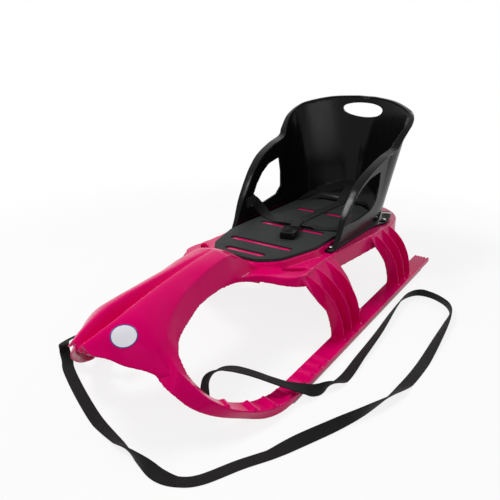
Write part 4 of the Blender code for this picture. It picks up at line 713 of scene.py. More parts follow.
def webbing(name, centre, across, width, thickness, closed=False):
    """A band carried along a line: its section is two flat faces, faintly cushioned, joined by half
    rounds. The UV map is the distance along and across in metres."""
    centre = centred(centre)
    along = unit(np.gradient(centre, axis=0))
    if closed:
        along = unit(np.roll(centre, -1, axis=0) - np.roll(centre, 1, axis=0))
    across = np.asarray(across, float)
    across = unit(across - along * np.sum(across * along, axis=1, keepdims=True))
    up = np.cross(along, across)
    reach = width / 2 - thickness / 2
    flat = np.linspace(-1, 1, 9)
    turn = np.linspace(-np.pi / 2, np.pi / 2, 6)[1:-1]
    swell = thickness * 0.06 * (1 - flat ** 2)
    half = thickness / 2
    bow, rise = half * np.cos(turn), half * np.sin(turn)
    u = np.concatenate([flat * reach, reach + bow, -flat * reach, -reach - bow])
    v = np.concatenate([-half - swell, rise, half + swell, -rise])
    rings = centre[:, None] + across[:, None] * u[None, :, None] + up[:, None] * v[None, :, None]
    count, size = rings.shape[:2]
    rows = count if closed else count - 1
    i = np.arange(rows)[:, None]
    j = np.arange(size)[None, :]
    i2, j2 = (i + 1) % count, (j + 1) % size
    quads = np.stack([i * size + j, i2 * size + j, i2 * size + j2, i * size + j2], axis=-1)
    quads = quads.reshape(-1, 4).tolist()
    caps = [] if closed else [list(range(size)), list(range((count - 1) * size, count * size))]
    mesh = bpy.data.meshes.new(name)
    mesh.from_pydata(rings.reshape(-1, 3).tolist(), [], quads + caps)
    length = distances(centre)
    corner = corners(mesh)
    uv = np.column_stack([length[corner // size], u[corner % size]])
    if closed:
        last = np.repeat(np.arange(rows * size) // size == rows - 1, 4)
        high = np.tile([False, True, True, False], rows * size)
        end = length[-1] + np.linalg.norm(centre[0] - centre[-1])
        uv[:len(last), 0] = np.where(last & high, end, uv[:len(last), 0])
    mesh.uv_layers.new(name="strap").data.foreach_set("uv", uv.reshape(-1))
    turn_outwards(mesh)
    part = add_object(name, mesh)
    mesh.shade_smooth()
    mesh.set_sharp_from_angle(angle=math.radians(50))
    return part


# Buckle: place of its front end, its turn, and the heights above the plateau of its base and of webbing
# that lies on the mat
BUCKLE_PLACE = (0.024, 0.072)
BUCKLE_TURN = math.radians(14.5)
BUCKLE_BASE = MAT_THICKNESS + GAP
WEB_LEVEL = BUCKLE_BASE + WEB_THICKNESS / 2
# Lap belt: how far along the buckle it crosses the tongue, its height there, and that of its loops
LAP_CROSSING, LAP_HEIGHT, LAP_LOOP_Z = 0.0745, 0.0101, 0.1935
# Its left arm from the buckle to the window, with the direction of its width
LAP_ARM = (
    (0.052, 0.149, deck_z(0.149) + WEB_LEVEL + 0.0004), (0.074, 0.16, deck_z(0.16) + WEB_LEVEL + 0.0008),
    (0.09, 0.167, 0.164), (0.101, 0.168, 0.1715), (0.1065, 0.164, 0.181), (0.109, 0.158, 0.189),
    (0.1096, 0.15, LAP_LOOP_Z), (0.1097, 0.14, LAP_LOOP_Z))
LAP_ARM_ACROSS = (
    (0, 1, -DECK_FALL), (-0.05, 1, 0.0), (-0.2, 0.9, 0.3), (-0.25, 0.6, 0.7), (-0.1, 0.4, 1), (0, 0.2, 1),
    (0, 0, 1), (0, 0, 1))
# Sides of the webbing's loops: across and along at the arm, and at the tongue along the buckle and above
# the plateau
BELT_LOOP = ((0.1089, 0.1185), (BELT_SLOT_Y, 0.1590))
TONGUE_LOOP, TONGUE_LOOP_WIDTH = ((0.0320, 0.0906), (0.0083, 0.0162)), 0.018
# Crotch strap: in plan on the mat, then up the seat step and down through its slot
CROTCH_ON_MAT = ((-0.005, 0.185), (-0.005, 0.230), (-0.003, 0.290), (-0.001, 0.340), (0.0, 0.366))
CROTCH_UP = (
    (0.0, 0.3705, 0.1502), (0.0, 0.3745, 0.1524), (0.0, 0.3772, 0.1556), (0.0, 0.3812, 0.1596),
    (0.0, 0.3866, 0.1632), (0.0, 0.395, 0.1669), (0.0, 0.404, 0.1706), (0.0, 0.41, 0.1734),
    (0.0, 0.4138, 0.1734), (0.0, CROTCH_SLOT_Y + 0.0002, 0.1692), (0.0, CROTCH_SLOT_Y, 0.16),
    (0.0, CROTCH_SLOT_Y, 0.148))
# Short strap under the left rear screw: width, and place across and along with the height above the foot
REAR_STRAP_WIDTH = WEB_WIDTH * 0.7
REAR_STRAP = (
    (0.1235, 0.324, 0.0), (0.123, 0.34, 0.0), (0.1208, 0.356, 0.0012), (0.1165, 0.372, 0.0022),
    (0.1103, 0.387, 0.0022), (0.1025, 0.401, 0.0014))


def buckle_place(s, t, w):
    """From distance along the buckle, across it and above the plateau to the tables' coordinates."""
    s, t, w = np.broadcast_arrays(np.asarray(s, float), t, w)
    x = BUCKLE_PLACE[0] - s * math.sin(BUCKLE_TURN) + t * math.cos(BUCKLE_TURN)
    y = BUCKLE_PLACE[1] + s * math.cos(BUCKLE_TURN) + t * math.sin(BUCKLE_TURN)
    return np.stack([x, y, deck_z(y) + w], axis=-1)


# Pull strap on the floor: place, and how flat it lies. 1 or -1 lays it flat with that side up, 0 stands
# it on edge
STRAP_FLOOR = (
    (0.233, -0.11, 1.0), (0.231, -0.029, 0.95), (0.227, 0.067, 0.85), (0.219, 0.17, 0.6),
    (0.218, 0.235, 0.45), (0.234, 0.272, 0.4), (0.262, 0.276, 0.4), (0.296, 0.258, 0.3), (0.318, 0.228, 0.0),
    (0.325, 0.183, -0.6), (0.329, 0.11, -0.9), (0.332, 0.014, -1.0), (0.329, -0.061, -1.0),
    (0.321, -0.12, -0.7), (0.303, -0.18, -0.1), (0.279, -0.235, 0.45), (0.249, -0.294, 0.8),
    (0.225, -0.337, 1.0), (0.2, -0.377, 1.0), (0.172, -0.429, 1.0), (0.148, -0.449, 1.0), (0.12, -0.456, 0.9),
    (0.077, -0.45, 0.0), (0.03, -0.436, -0.9), (-0.029, -0.416, -1.0), (-0.075, -0.395, -1.0),
    (-0.131, -0.366, -1.0), (-0.183, -0.336, -1.0))
# From the near ring down to the floor, and from the floor up to the far ring
STRAP_NEAR = (
    (0.101, -0.318, 0.069), (0.1032, -0.299, 0.0745), (0.1115, -0.28, 0.073), (0.124, -0.263, 0.0665),
    (0.142, -0.245, 0.055), (0.163, -0.228, 0.042), (0.184, -0.211, 0.03), (0.202, -0.192, 0.0195),
    (0.216, -0.172, 0.011))
STRAP_FAR = (
    (-0.206, -0.318, 0.003), (-0.222, -0.308, 0.009), (-0.225, -0.306, 0.019), (-0.216, -0.313, 0.031),
    (-0.2, -0.324, 0.044), (-0.178, -0.334, 0.06), (-0.157, -0.335, 0.074), (-0.139, -0.324, 0.083),
    (-0.12, -0.306, 0.087), (-0.104, -0.305, 0.081), (-0.099, -0.317, 0.073))
# How far along the ring's edge the strap lies, at both ends and at the near end where it comes out
STRAP_PLACE, STRAP_EXIT = 0.47, 0.40
# Direction of the strap's width at the points between ring and floor. The far ones are the last six
STRAP_NEAR_TURN = (
    (0.1, 0.55, -0.8), (-0.35, 0.75, -0.55), (-0.55, 0.75, -0.2), (-0.6, 0.75, 0), (-0.6, 0.8, 0),
    (-0.6, 0.8, 0), (-0.65, 0.75, 0.1), (-0.6, 0.5, 0.5), (-0.3, 0.3, 0.9))
STRAP_FAR_TURN = (
    (0.3, 0.92, 0.05), (0.45, 0.85, 0.1), (0.6, 0.65, 0.25), (0.6, 0.55, 0.45), (0.35, 0.55, 0.7),
    (0.0, 0.55, 0.8))


def band_frame(side, place=STRAP_PLACE):
    """The ring's rear edge where the strap leaves it, with its run, its way back and the way off its face."""
    crease = curve_through(BAND_CREASE, 401)
    rear = curve_through(BAND_REAR, 401)
    k = int(place * 400)
    mirror = np.array([side, 1, 1])
    run = unit((rear[k + 4] - rear[k - 4]) * mirror)
    back = unit((rear[k] - crease[k]) * mirror)
    off = unit(np.cross(run, back) * side)
    return rear[k] * mirror, run, back, off if off[2] >= 0 else -off


def above_floor(centre, across):
    """The line with its points lifted where the strap's section would reach into the floor. The section
    reaches down by half the width times the width direction's rise, and half the thickness, with the
    faces' swell, times the face's."""
    along = unit(np.gradient(centre, axis=0))
    across = unit(across - along * np.sum(across * along, axis=1, keepdims=True))
    up = np.cross(along, across)
    half = np.abs(across[:, 2]) * STRAP_WIDTH / 2 + np.abs(up[:, 2]) * STRAP_THICKNESS * 0.57
    raised = centre.copy()
    raised[:, 2] = np.maximum(centre[:, 2], half + GAP)
    return raised


def pull_strap_line(count):
    """Centre line and width direction of the pull strap, end to end."""
    depth = WALL + GAP + STRAP_THICKNESS / 2
    ends = []
    for side in (1, -1):
        rear, run, back, off = band_frame(side)
        ends.append((np.array([rear + back * way - off * depth for way in (-0.020, -0.006, 0.007)]), run))
    rear, _, back, off = band_frame(1, STRAP_EXIT)
    ends[0][0][1:] = rear - back * 0.004 - off * (depth + 0.0006), rear + back * 0.008 - off * depth
    x, y, lay = np.array(STRAP_FLOOR).T
    stand = np.sqrt(1 - lay ** 2)
    floor = np.column_stack([x, y, np.abs(lay) * STRAP_THICKNESS / 2 + stand * STRAP_WIDTH / 2 + GAP])
    way = unit(np.gradient(floor[:, :2], axis=0))
    floor_across = np.column_stack([way[:, 1] * lay, -way[:, 0] * lay, stand])
    side_way = np.array([0.2, 0.97, 0])
    sign = 1 if floor_across[-1] @ side_way >= 0 else -1
    far_across = sign * np.vstack([np.tile(side_way, (5, 1)), STRAP_FAR_TURN])
    last_run = ends[1][1] if ends[1][1] @ far_across[-1] >= 0 else -ends[1][1]
    points = np.vstack([ends[0][0], STRAP_NEAR, floor, STRAP_FAR, ends[1][0][::-1]])
    across = np.vstack([np.tile(ends[0][1], (3, 1)), STRAP_NEAR_TURN, floor_across, far_across,
                        np.tile(last_run, (3, 1))])
    centre, across = curve_through(points, count), spread(points, across, count)
    return above_floor(centre, across), across


# ---- materials ----

SEEN_RAYS = ("Is Camera Ray", "Is Glossy Ray", "Is Transmission Ray")


class Signal:
    """A node's output socket on which Python's operators add Math nodes."""

    def __init__(self, shader, socket):
        self.shader, self.socket = shader, socket

    def _maths(self, operation, *values):
        return self.shader.node("ShaderNodeMath", {"operation": operation}, *values)

    def __add__(self, other):
        return self._maths("ADD", self, other)

    def __sub__(self, other):
        return self._maths("SUBTRACT", self, other)

    def __rsub__(self, other):
        return self._maths("SUBTRACT", other, self)

    def __mul__(self, other):
        return self._maths("MULTIPLY", self, other)

    def __pow__(self, other):
        return self._maths("POWER", self, other)

    def sine(self):
        return self._maths("SINE", self)

    def size(self):
        return self._maths("ABSOLUTE", self)

    def whole_part(self):
        return self._maths("FLOOR", self)

    def clip(self, low, high):
        return self._maths("MAXIMUM", self._maths("MINIMUM", self, high), low)

    __radd__ = __add__
    __rmul__ = __mul__


class Finish:
    """A material under construction: its nodes are added by one method and wired to its surface."""

    def __init__(self, name):
        self.material = bpy.data.materials.new(name)
        self.material.use_nodes = True
        self.tree = self.material.node_tree
        self.surface = self.tree.nodes["Principled BSDF"]

    def node(self, kind, settings=None, *values, output=0, **named):
        """Adds a node: its own settings first, then its sockets' values or links, by number or by name."""
        made = self.tree.nodes.new(kind)
        for key, value in (settings or {}).items():
            if key == "stops":
                ramp = made.color_ramp
                for k, (place, colour) in enumerate(value):
                    stop = ramp.elements[k] if k < len(ramp.elements) else ramp.elements.new(place)
                    stop.position, stop.color = place, colour
            else:
                setattr(made, key, value)
        for key, value in list(enumerate(values)) + [(k.replace("_", " "), v) for k, v in named.items()]:
            if isinstance(value, Signal):
                self.tree.links.new(value.socket, made.inputs[key])
            elif value is not None:
                made.inputs[key].default_value = value
        return Signal(self, made.outputs[output])

    def place(self):
        """The place on the object."""
        return self.node("ShaderNodeTexCoord", None, output="Object")

    def parts(self, vector):
        """A vector's three components."""
        made = self.tree.nodes.new("ShaderNodeSeparateXYZ")
        self.tree.links.new(vector.socket, made.inputs[0])
        return [Signal(self, socket) for socket in made.outputs]

    def noise(self, scale, detail, vector=None, roughness=0.5):
        """Noise by the place on the object, or by another vector."""
        return self.node("ShaderNodeTexNoise", None, Vector=vector or self.place(), Scale=scale,
                         Detail=detail, Roughness=roughness)

    def blend(self, share, first, second):
        """A colour between two others."""
        mix = self.tree.nodes.new("ShaderNodeMix")
        mix.data_type = "RGBA"
        for key, value in (("Factor", share), ("A", first), ("B", second)):
            socket = next(s for s in mix.inputs if s.name == key and s.enabled)
            if isinstance(value, Signal):
                self.tree.links.new(value.socket, socket)
            else:
                socket.default_value = value
        return Signal(self, next(s for s in mix.outputs if s.enabled))

    def bump(self, height, distance, strength):
        """A normal tilted by a height."""
        return self.node("ShaderNodeBump", None, Strength=strength, Distance=distance, Height=height,
                         output="Normal")

    def wear(self, **sockets):
        """Sets the surface's sockets to numbers, colours or signals."""
        for key, value in sockets.items():
            socket = self.surface.inputs[key.replace("_", " ")]
            if isinstance(value, Signal):
                self.tree.links.new(value.socket, socket)
            else:
                socket.default_value = value
        return self.material


def tint(colour, factor=1.0, lift=0.0):
    """A colour made lighter or darker, with alpha."""
    return (*(c * factor + lift for c in colour), 1.0)


def body_finish(colour):
    """Glossy moulded polyethylene: nearly even colour, a faint grain and slow waves of the mould."""
    shader = Finish("sled_body_plastic")
    slow = shader.noise(9.0, 2.0)
    grain = shader.noise(900.0, 2.0)
    tone = shader.blend(slow * 0.5, tint(colour), tint(colour, 0.86))
    marks = shader.noise(55.0, 6.0, roughness=0.7)
    rough = 0.22 + (marks - 0.5) * 0.12 + (grain - 0.5) * 0.04
    height = slow * 0.35 + grain * 0.02
    return shader.wear(Base_Color=tone, Roughness=rough.clip(0.12, 0.6), Specular_IOR_Level=0.15,
                       Specular_Tint=(1.0, 0.12, 0.40, 1.0), Normal=shader.bump(height, 0.0006, 0.5))


def black_finish(colour, name="back_shell_plastic", rough=0.19):
    """Black injection-moulded plastic with fine grain and faint rub marks."""
    shader = Finish(name)
    slow = shader.noise(14.0, 2.0)
    grain = shader.noise(1400.0, 2.0)
    marks = shader.noise(70.0, 5.0, roughness=0.65)
    tone = shader.blend((marks - 0.35) * 0.6, tint(colour), tint(colour, 1.5, 0.002))
    height = slow * 0.25 + grain * 0.015
    return shader.wear(Base_Color=tone, Roughness=(rough + (marks - 0.5) * 0.14).clip(0.1, 0.6),
                       Specular_IOR_Level=0.11, Normal=shader.bump(height, 0.0006, 0.45))


def mat_finish(colour):
    """Closed-cell foam with a fine pebbled skin."""
    shader = Finish("mat_foam")
    pebble = shader.node("ShaderNodeTexVoronoi", {"feature": "SMOOTH_F1"}, Vector=shader.place(), Scale=620.0)
    cloud = shader.noise(40.0, 4.0)
    fine = shader.noise(1500.0, 2.0)
    tone = shader.blend(cloud * 0.8 + fine * 0.2, tint(colour, 0.82), tint(colour, 1.2))
    return shader.wear(Base_Color=tone, Roughness=(0.62 + (cloud - 0.5) * 0.2).clip(0.4, 0.9),
                       Specular_IOR_Level=0.1, Normal=shader.bump(pebble * 0.7 + fine * 0.3, 0.0005, 0.7))


def webbing_finish(colour, name):
    """Woven webbing: warp ridges along the strap crossed by weft pulses that alternate from ridge to
    ridge. Warp and weft are the widths of a ridge and of a pulse in metres. The colour follows the
    weave's height, with painted shade in its dips and a painted highlight on its ridges."""
    warp_width, weft_width = 0.0016, 0.0026
    shader = Finish(name)
    along, across, _ = shader.parts(shader.node("ShaderNodeUVMap", {"uv_map": "strap"}))
    warp = (across * (math.pi / warp_width)).sine().size()
    row = (across * (1 / warp_width)).whole_part()
    weft = (along * (2 * math.pi / weft_width) + row * math.pi).sine() * 0.5 + 0.5
    fuzz = shader.noise(1800.0, 2.0)
    height = warp * (weft * 0.7 + 0.3)
    dirt = shader.noise(30.0, 4.0)
    # Painted shade in the weave's dips and painted highlight on its ridges, mixed with random fuzz
    tone = shader.blend((height * 0.7 + fuzz * 0.3).clip(0, 1), tint(colour, 0.55), tint(colour, 1.35))
    return shader.wear(Base_Color=tone, Roughness=(0.66 + (dirt - 0.5) * 0.25).clip(0.4, 0.95),
                       Specular_IOR_Level=0.12, Sheen_Weight=0.08, Sheen_Roughness=0.4,
                       Normal=shader.bump(height * 0.85 + fuzz * 0.15, 0.0004, 0.8))


def steel_finish(colour):
    """Zinc-plated steel with fine drawn lines and duller patches."""
    shader = Finish("plated_steel")
    stretched = shader.node("ShaderNodeMapping", None, Vector=shader.place(), Scale=(900.0, 30.0, 900.0))
    lines = shader.noise(1.0, 3.0, stretched)
    patches = shader.noise(120.0, 4.0)
    tone = shader.blend(patches, tint(colour, 0.8), tint(colour))
    rough = 0.28 + (lines - 0.5) * 0.2 + (patches - 0.5) * 0.2
    return shader.wear(Base_Color=tone, Metallic=1.0, Roughness=rough.clip(0.12, 0.7),
                       Normal=shader.bump(lines, 0.0001, 0.4))


def floor_finish():
    """A pale matt floor. Rays from the camera, and mirrored and clear ones, see it nearly white, and all
    white further off, so that it shows soft shadows and no horizon."""
    nearly, near, slope = 0.84, 0.75, 0.4
    shader = Finish("pale_floor")
    shader.wear(Base_Color=(0.62, 0.62, 0.62, 1.0), Roughness=0.9, Specular_IOR_Level=0.05)
    path = shader.tree.nodes.new("ShaderNodeLightPath")
    camera, glossy, clear = (Signal(shader, path.outputs[kind]) for kind in SEEN_RAYS)
    x, y, _ = shader.parts(shader.place())
    far = (x * x + y * y) ** 0.5 - near
    share = (nearly + far * slope).clip(nearly, 1.0) * (camera + glossy + clear).clip(0, 1)
    pale = shader.node("ShaderNodeBsdfDiffuse", None, Color=(0.95, 0.95, 0.95, 1.0), output="BSDF")
    own = Signal(shader, shader.surface.outputs[0])
    matt = shader.node("ShaderNodeMixShader", None, camera, own, pale, output="Shader")
    white = shader.node("ShaderNodeEmission", None, Color=(1.0, 1.0, 1.0, 1.0), Strength=1.0,
                        output="Emission")
    mixed = shader.node("ShaderNodeMixShader", None, share, matt, white, output="Shader")
    shader.tree.links.new(mixed.socket, shader.tree.nodes["Material Output"].inputs["Surface"])
    return shader.material


def label_finish(colour, rim):
    """A plain oval sticker: one pale colour inside a thin darker rim, by the oval's own UV radius."""
    shader = Finish("plain_sticker")
    radius, _, _ = shader.parts(shader.node("ShaderNodeUVMap", {"uv_map": "oval"}))
    edge = ((radius - 0.90) * 60.0).clip(0, 1)
    cloud = shader.noise(60.0, 3.0)
    face = shader.blend(cloud * 0.4, tint(colour), tint(colour, 0.93))
    tone = shader.blend(edge, face, tint(rim))
    return shader.wear(Base_Color=tone, Roughness=0.3 + (cloud - 0.5) * 0.1)


# ---- settings, operators and panel ----

CAMERA_PLACE, CAMERA_TILT, CAMERA_PAN = (0.5795, -0.9478, 0.5944), 68.237, 32.435
WORLD_LIGHT = 0.34
# Lamps: name, place, point that they shine at, side and power
LAMPS = (("key", (-0.9, -0.9, 2.4), (0, 0, 0.1), 0.62, 33), ("fill", (1.9, -1.5, 1.3), (0, 0, 0.1), 0.9, 8),
         ("rim", (0.4, 2.4, 1.7), (0, 0.1, 0.2), 0.6, 12))
# Sticker: where the photograph shows its middle, its half width and height, its lift and thickness
STICKER_PIXEL, STICKER_HALVES, STICKER_LIFT, STICKER_THICKNESS = (124, 336), (0.0196, 0.0165), 0.00035, 0.0003


def length_setting(name, description, default):
    """A property that holds a length in metres."""
    return bpy.props.FloatProperty(name=name, description=description, default=default, unit="LENGTH",
                                   precision=4)


def colour_setting(name, description, default):
    """A property that holds a linear colour."""
    return bpy.props.FloatVectorProperty(name=name, description=description, subtype="COLOR", default=default,
                                         min=0, max=1)


class SledSizes(bpy.types.PropertyGroup):
    body_cell: length_setting("Body cell", "Mesh cell of the body, which rounds its edges", 0.0014)
    mat_bevel: length_setting("Mat edge", "Rounding of the mat's edges", 0.0014)
    buckle_bevel: length_setting("Buckle edge", "Rounding of the buckle's edges", 0.0006)


class SledColours(bpy.types.PropertyGroup):
    body: colour_setting("Body", "Colour of the moulded body", (0.78, 0.0, 0.145))
    shell: colour_setting("Back shell", "Colour of the seat's back and the buckle", (0.004, 0.004, 0.0046))
    mat: colour_setting("Mat", "Colour of the seat mat", (0.028, 0.032, 0.031))
    webbing: colour_setting("Webbing", "Colour of the straps", (0.0095, 0.0085, 0.0092))
    steel: colour_setting("Steel", "Colour of screws, nuts, rivets and rails", (0.58, 0.57, 0.55))


def sizes():
    """The scene's sizes."""
    return bpy.context.scene.sled_sizes


def colours():
    """The scene's colours."""
    return bpy.context.scene.sled_colours


class SLED_OT_stage(bpy.types.Operator):
    """Lay the pale floor, hang the lamps and set the camera"""
    bl_idname = "sled.stage"
    bl_label = "Stage"

    def execute(self, context):
        scene = context.scene
        scene.view_settings.view_transform = "Standard"
        data = bpy.data.cameras.new("camera")
        data.lens, data.sensor_width = FOCAL_PIXELS * SENSOR / PICTURE_SIDE, SENSOR
        camera = bpy.data.objects.new("camera", data)
        camera.location = centred(CAMERA_PLACE)
        camera.rotation_euler = (math.radians(CAMERA_TILT), 0.0, math.radians(CAMERA_PAN))
        scene.collection.objects.link(camera)
        scene.camera = camera
        edge = [(x, y, 0) for x, y in rectangle(-9, 9, -9, 9)]
        floor = add_object("floor", closed_mesh("floor", edge, [(0, 1, 2, 3)]))
        if floor.data.polygons[0].normal.z < 0:
            floor.data.flip_normals()
        floor.data.materials.append(floor_finish())
        floor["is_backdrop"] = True
        world = bpy.data.worlds.new("studio")
        scene.world = world
        world.use_nodes = True
        tree = world.node_tree
        back = tree.nodes["Background"]
        back.inputs["Color"].default_value = (1, 1, 1, 1)
        back.inputs["Strength"].default_value = WORLD_LIGHT
        white = tree.nodes.new("ShaderNodeBackground")
        white.inputs["Color"].default_value = (1, 1, 1, 1)
        path = tree.nodes.new("ShaderNodeLightPath")
        seen = path.outputs[SEEN_RAYS[0]]
        for kind in SEEN_RAYS[1:]:
            either = tree.nodes.new("ShaderNodeMath")
            either.operation = "MAXIMUM"
            tree.links.new(seen, either.inputs[0])
            tree.links.new(path.outputs[kind], either.inputs[1])
            seen = either.outputs[0]
        mix = tree.nodes.new("ShaderNodeMixShader")
        tree.links.new(seen, mix.inputs[0])
        tree.links.new(back.outputs[0], mix.inputs[1])
        tree.links.new(white.outputs[0], mix.inputs[2])
        tree.links.new(mix.outputs[0], tree.nodes["World Output"].inputs["Surface"])
        for name, place, aim, size, power in LAMPS:
            lamp = bpy.data.lights.new(name, "AREA")
            lamp.size, lamp.energy = size, power
            hung = bpy.data.objects.new(name, lamp)
            hung.location = place
            hung.rotation_euler = (Vector(aim) - Vector(place)).to_track_quat("-Z", "Y").to_euler()
            scene.collection.objects.link(hung)
        return {"FINISHED"}


class SLED_OT_pull_strap(bpy.types.Operator):
    """Weave the pull strap along its line on the floor"""
    bl_idname = "sled.pull_strap"
    bl_label = "Pull strap"

    def execute(self, context):
        centre, across = pull_strap_line(620)
        strap = webbing("pull_strap_woven", centre, across, STRAP_WIDTH, STRAP_THICKNESS)
        finish = webbing_finish(colours().webbing, "pull_strap_webbing")
        hand_in(strap, "sled", "webbing", finish, "pull_strap")
        length = float(distances(centre)[-1])
        line = centred(centre)
        return {"FINISHED"}


class SLED_OT_body(bpy.types.Operator):
    """Mould the sled's body: hood, ring bands, runners, deck, legs and foot ridges"""
    bl_idname = "sled.body"
    bl_label = "Body"

    def execute(self, context):
        solids, hollow, ribs = deck_solids()
        body = add_object("sled_body_moulded", solids[0])
        for solid in solids[1:]:
            add(body, solid)
        cut(body, hollow)
        for solid in ribs + [hood_solid()]:
            add(body, solid)
        for x, top in NOSE_TEETH:
            add(body, prism("tooth", bar(x, TOOTH_HALF, TOOTH_FRONT, TOOTH_REAR), TOOTH_FOOT, top, upright))
        for solid in [band_solid()] + leg_solids(FRONT_LEG) + leg_solids(REAR_LEG) + ridge_solids():
            for mesh in both_sides(solid):
                add(body, mesh)
        collar = prism("collar", grip_outline(WALL * 0.7), -SIDE_DROP - 0.019, -SIDE_DROP - 0.001)
        for mesh in both_sides(collar):
            add(body, mesh)
        for mesh in both_sides(prism("grip", grip_outline(), -0.08, 0.03)):
            cut(body, mesh)
        for x, y, half in CROSS_RIBS:
            outline = slot_outline(x, y, half, SLOT_WIDTH - 0.0016)
            add(body, prism("cross_rib", outline, -0.002, MAT_THICKNESS - 0.0024))
        for k in range(COMB_GROOVES):
            x = RUNNER_OUTSIDE - RUNNER_WIDTH * (k + 1) / (COMB_GROOVES + 1)
            outline = bar(x, GROOVE_HALF, REAR_END - GROOVE_LENGTH, REAR_END + 0.01)
            groove = prism("groove", outline, RUNNER_TOP - GROOVE_DEPTH, RUNNER_TOP + 0.01, upright)
            for mesh in both_sides(groove):
                cut(body, mesh)
        moulded(body, sizes().body_cell, BODY_PASSES, BODY_TRIANGLES)
        hand_in(body, "sled", "body", body_finish(colours().body), "sled_body")
        return {"FINISHED"}


class SLED_OT_sticker(bpy.types.Operator):
    """Lay a plain oval sticker on the hood's left flank: rings and spokes dropped onto the body"""
    bl_idname = "sled.sticker"
    bl_label = "Sticker"

    def execute(self, context):
        body = bpy.data.objects["sled_body_moulded"]
        tree = BVHTree.FromObject(body, context.evaluated_depsgraph_get())
        camera = context.scene.camera
        turn = camera.rotation_euler.to_matrix()
        middle = PICTURE_SIDE / 2
        right, up = (STICKER_PIXEL[0] - middle) / FOCAL_PIXELS, (middle - STICKER_PIXEL[1]) / FOCAL_PIXELS
        way = turn @ Vector((right, up, -1.0))
        hit, normal, _, _ = tree.ray_cast(camera.location, way.normalized())
        if hit is None:
            raise RuntimeError("the hood isn't where the sticker goes")
        side = Vector((0, 0, 1)).cross(normal).normalized()
        rise = normal.cross(side)
        rings, spokes, reach = 12, 64, 0.02
        a = np.arange(spokes) * 2 * np.pi / spokes
        r = np.linspace(0, 1, rings + 1)[1:, None]
        u = np.concatenate([[0], (r * STICKER_HALVES[0] * np.cos(a)[None]).reshape(-1)])
        v = np.concatenate([[0], (r * STICKER_HALVES[1] * np.sin(a)[None]).reshape(-1)])
        starts = np.array(hit)[None] + u[:, None] * np.array(side) + v[:, None] * np.array(rise)
        starts = starts + reach * np.array(normal)
        down = -normal
        found = [tree.ray_cast(Vector(start), down, 3 * reach)[0] for start in starts]
        top = np.array([tuple(p) if p else tuple(Vector(s) + down * reach) for p, s in zip(found, starts)])
        top = top + np.array(normal) * STICKER_LIFT
        k = np.arange(spokes)
        after = (k + 1) % spokes
        first = np.stack([np.zeros(spokes, int), 1 + k, 1 + after], axis=1).tolist()
        i = 1 + np.arange(rings - 1)[:, None] * spokes
        quads = np.stack([i + k, i + spokes + k, i + spokes + after, i + after], axis=-1)
        mesh = bpy.data.meshes.new("sticker")
        mesh.from_pydata(top.tolist(), [], first + quads.reshape(-1, 4).tolist())
        radius = np.concatenate([[0], np.repeat(r[:, 0], spokes)])[corners(mesh)]
        uv = np.column_stack([radius, np.zeros(len(radius))])
        mesh.uv_layers.new(name="oval").data.foreach_set("uv", uv.reshape(-1))
        sticker = add_object("plain_sticker", mesh)
        if mesh.polygons[0].normal.dot(normal) < 0:
            mesh.flip_normals()
        solid = sticker.modifiers.new("thickness", "SOLIDIFY")
        solid.thickness, solid.offset = STICKER_THICKNESS, -1.0
        settle(sticker)
        sticker.data.shade_smooth()
        hand_in(sticker, "sled", "body", label_finish((0.93, 0.93, 0.99), (0.055, 0.03, 0.30)))
        return {"FINISHED"}


class SLED_OT_mat(bpy.types.Operator):
    """Cut the foam seat mat with its slots"""
    bl_idname = "sled.mat"
    bl_label = "Mat"

    def execute(self, context):
        mat = add_object("seat_mat_foam", prism("mat", plateau_outline(), GAP, MAT_THICKNESS))
        for x, y, half in CROSS_RIBS:
            cut(mat, prism("slot", slot_outline(x, y, half, SLOT_WIDTH), -0.01, MAT_THICKNESS + 0.01))
        bevelled(mat, sizes().mat_bevel, 4, 50, 35)
        hand_in(mat, "sled", "mat", mat_finish(colours().mat), "seat_mat")
        return {"FINISHED"}


class SLED_OT_back_shell(bpy.types.Operator):
    """Mould the seat's back with its arms, foot, seat step, windows and grip"""
    bl_idname = "sled.back_shell"
    bl_label = "Back shell"

    def execute(self, context):
        wall, flange = shell_solids()
        shell = add_object("back_shell", wall)
        add(shell, flange)
        corner = seat_corner()
        outer = curve_through(FOOT_OUTER + (FOOT_REAR,), 70)[:-1]
        half = np.vstack([corner, [(corner[1, 0], FOOT_OUTER[0][1])], outer])
        add(shell, prism("foot", with_mirror(half), -SIDE_DROP + GAP, -SIDE_DROP + GAP + FOOT_THICKNESS))
        add(shell, ledge_solid(0.0))
        cut(shell, ledge_solid(SHELL_WALL))
        sideways = lambda u, v, w: np.stack([w, u, v], axis=-1)
        lengthways = lambda u, v, w: np.stack([u, w, v], axis=-1)
        x, y = CROTCH_SLOT_HALF
        slot = rounded(rectangle(-x, x, CROTCH_SLOT_Y - y, CROTCH_SLOT_Y + y), [0.002] * 4, 5)
        cut(shell, prism("slot", slot, 0.155, 0.200, upright))
        window = rounded(WINDOW, [0.005, 0, 0, 0, 0.02, 0.007, 0, 0.008, 0.004, 0], 8)
        reach = WEB_WIDTH / 2 + 0.0015
        belt_slot = bar(BELT_SLOT_Y, BELT_SLOT_HALF, LAP_LOOP_Z - reach, LAP_LOOP_Z + reach)
        for opening in (window, belt_slot):
            for mesh in both_sides(prism("window", opening, 0.105, 0.135, sideways)):
                cut(shell, mesh)
        a = np.linspace(0, np.pi, 40)[:-1]
        hole = np.vstack([np.stack([HOLE_HALF * np.cos(a), HOLE_Z + HOLE_UP * np.sin(a) ** 0.8], axis=1),
                          np.stack([-HOLE_HALF * np.cos(a), HOLE_Z - HOLE_DOWN * np.sin(a)], axis=1)])
        cut(shell, prism("hole", hole, 0.44, 0.52, lengthways))
        bevelled(shell, 0.0006, 2, 55, 38)
        hand_in(shell, "sled", "black", black_finish(colours().shell), "backrest")
        return {"FINISHED"}


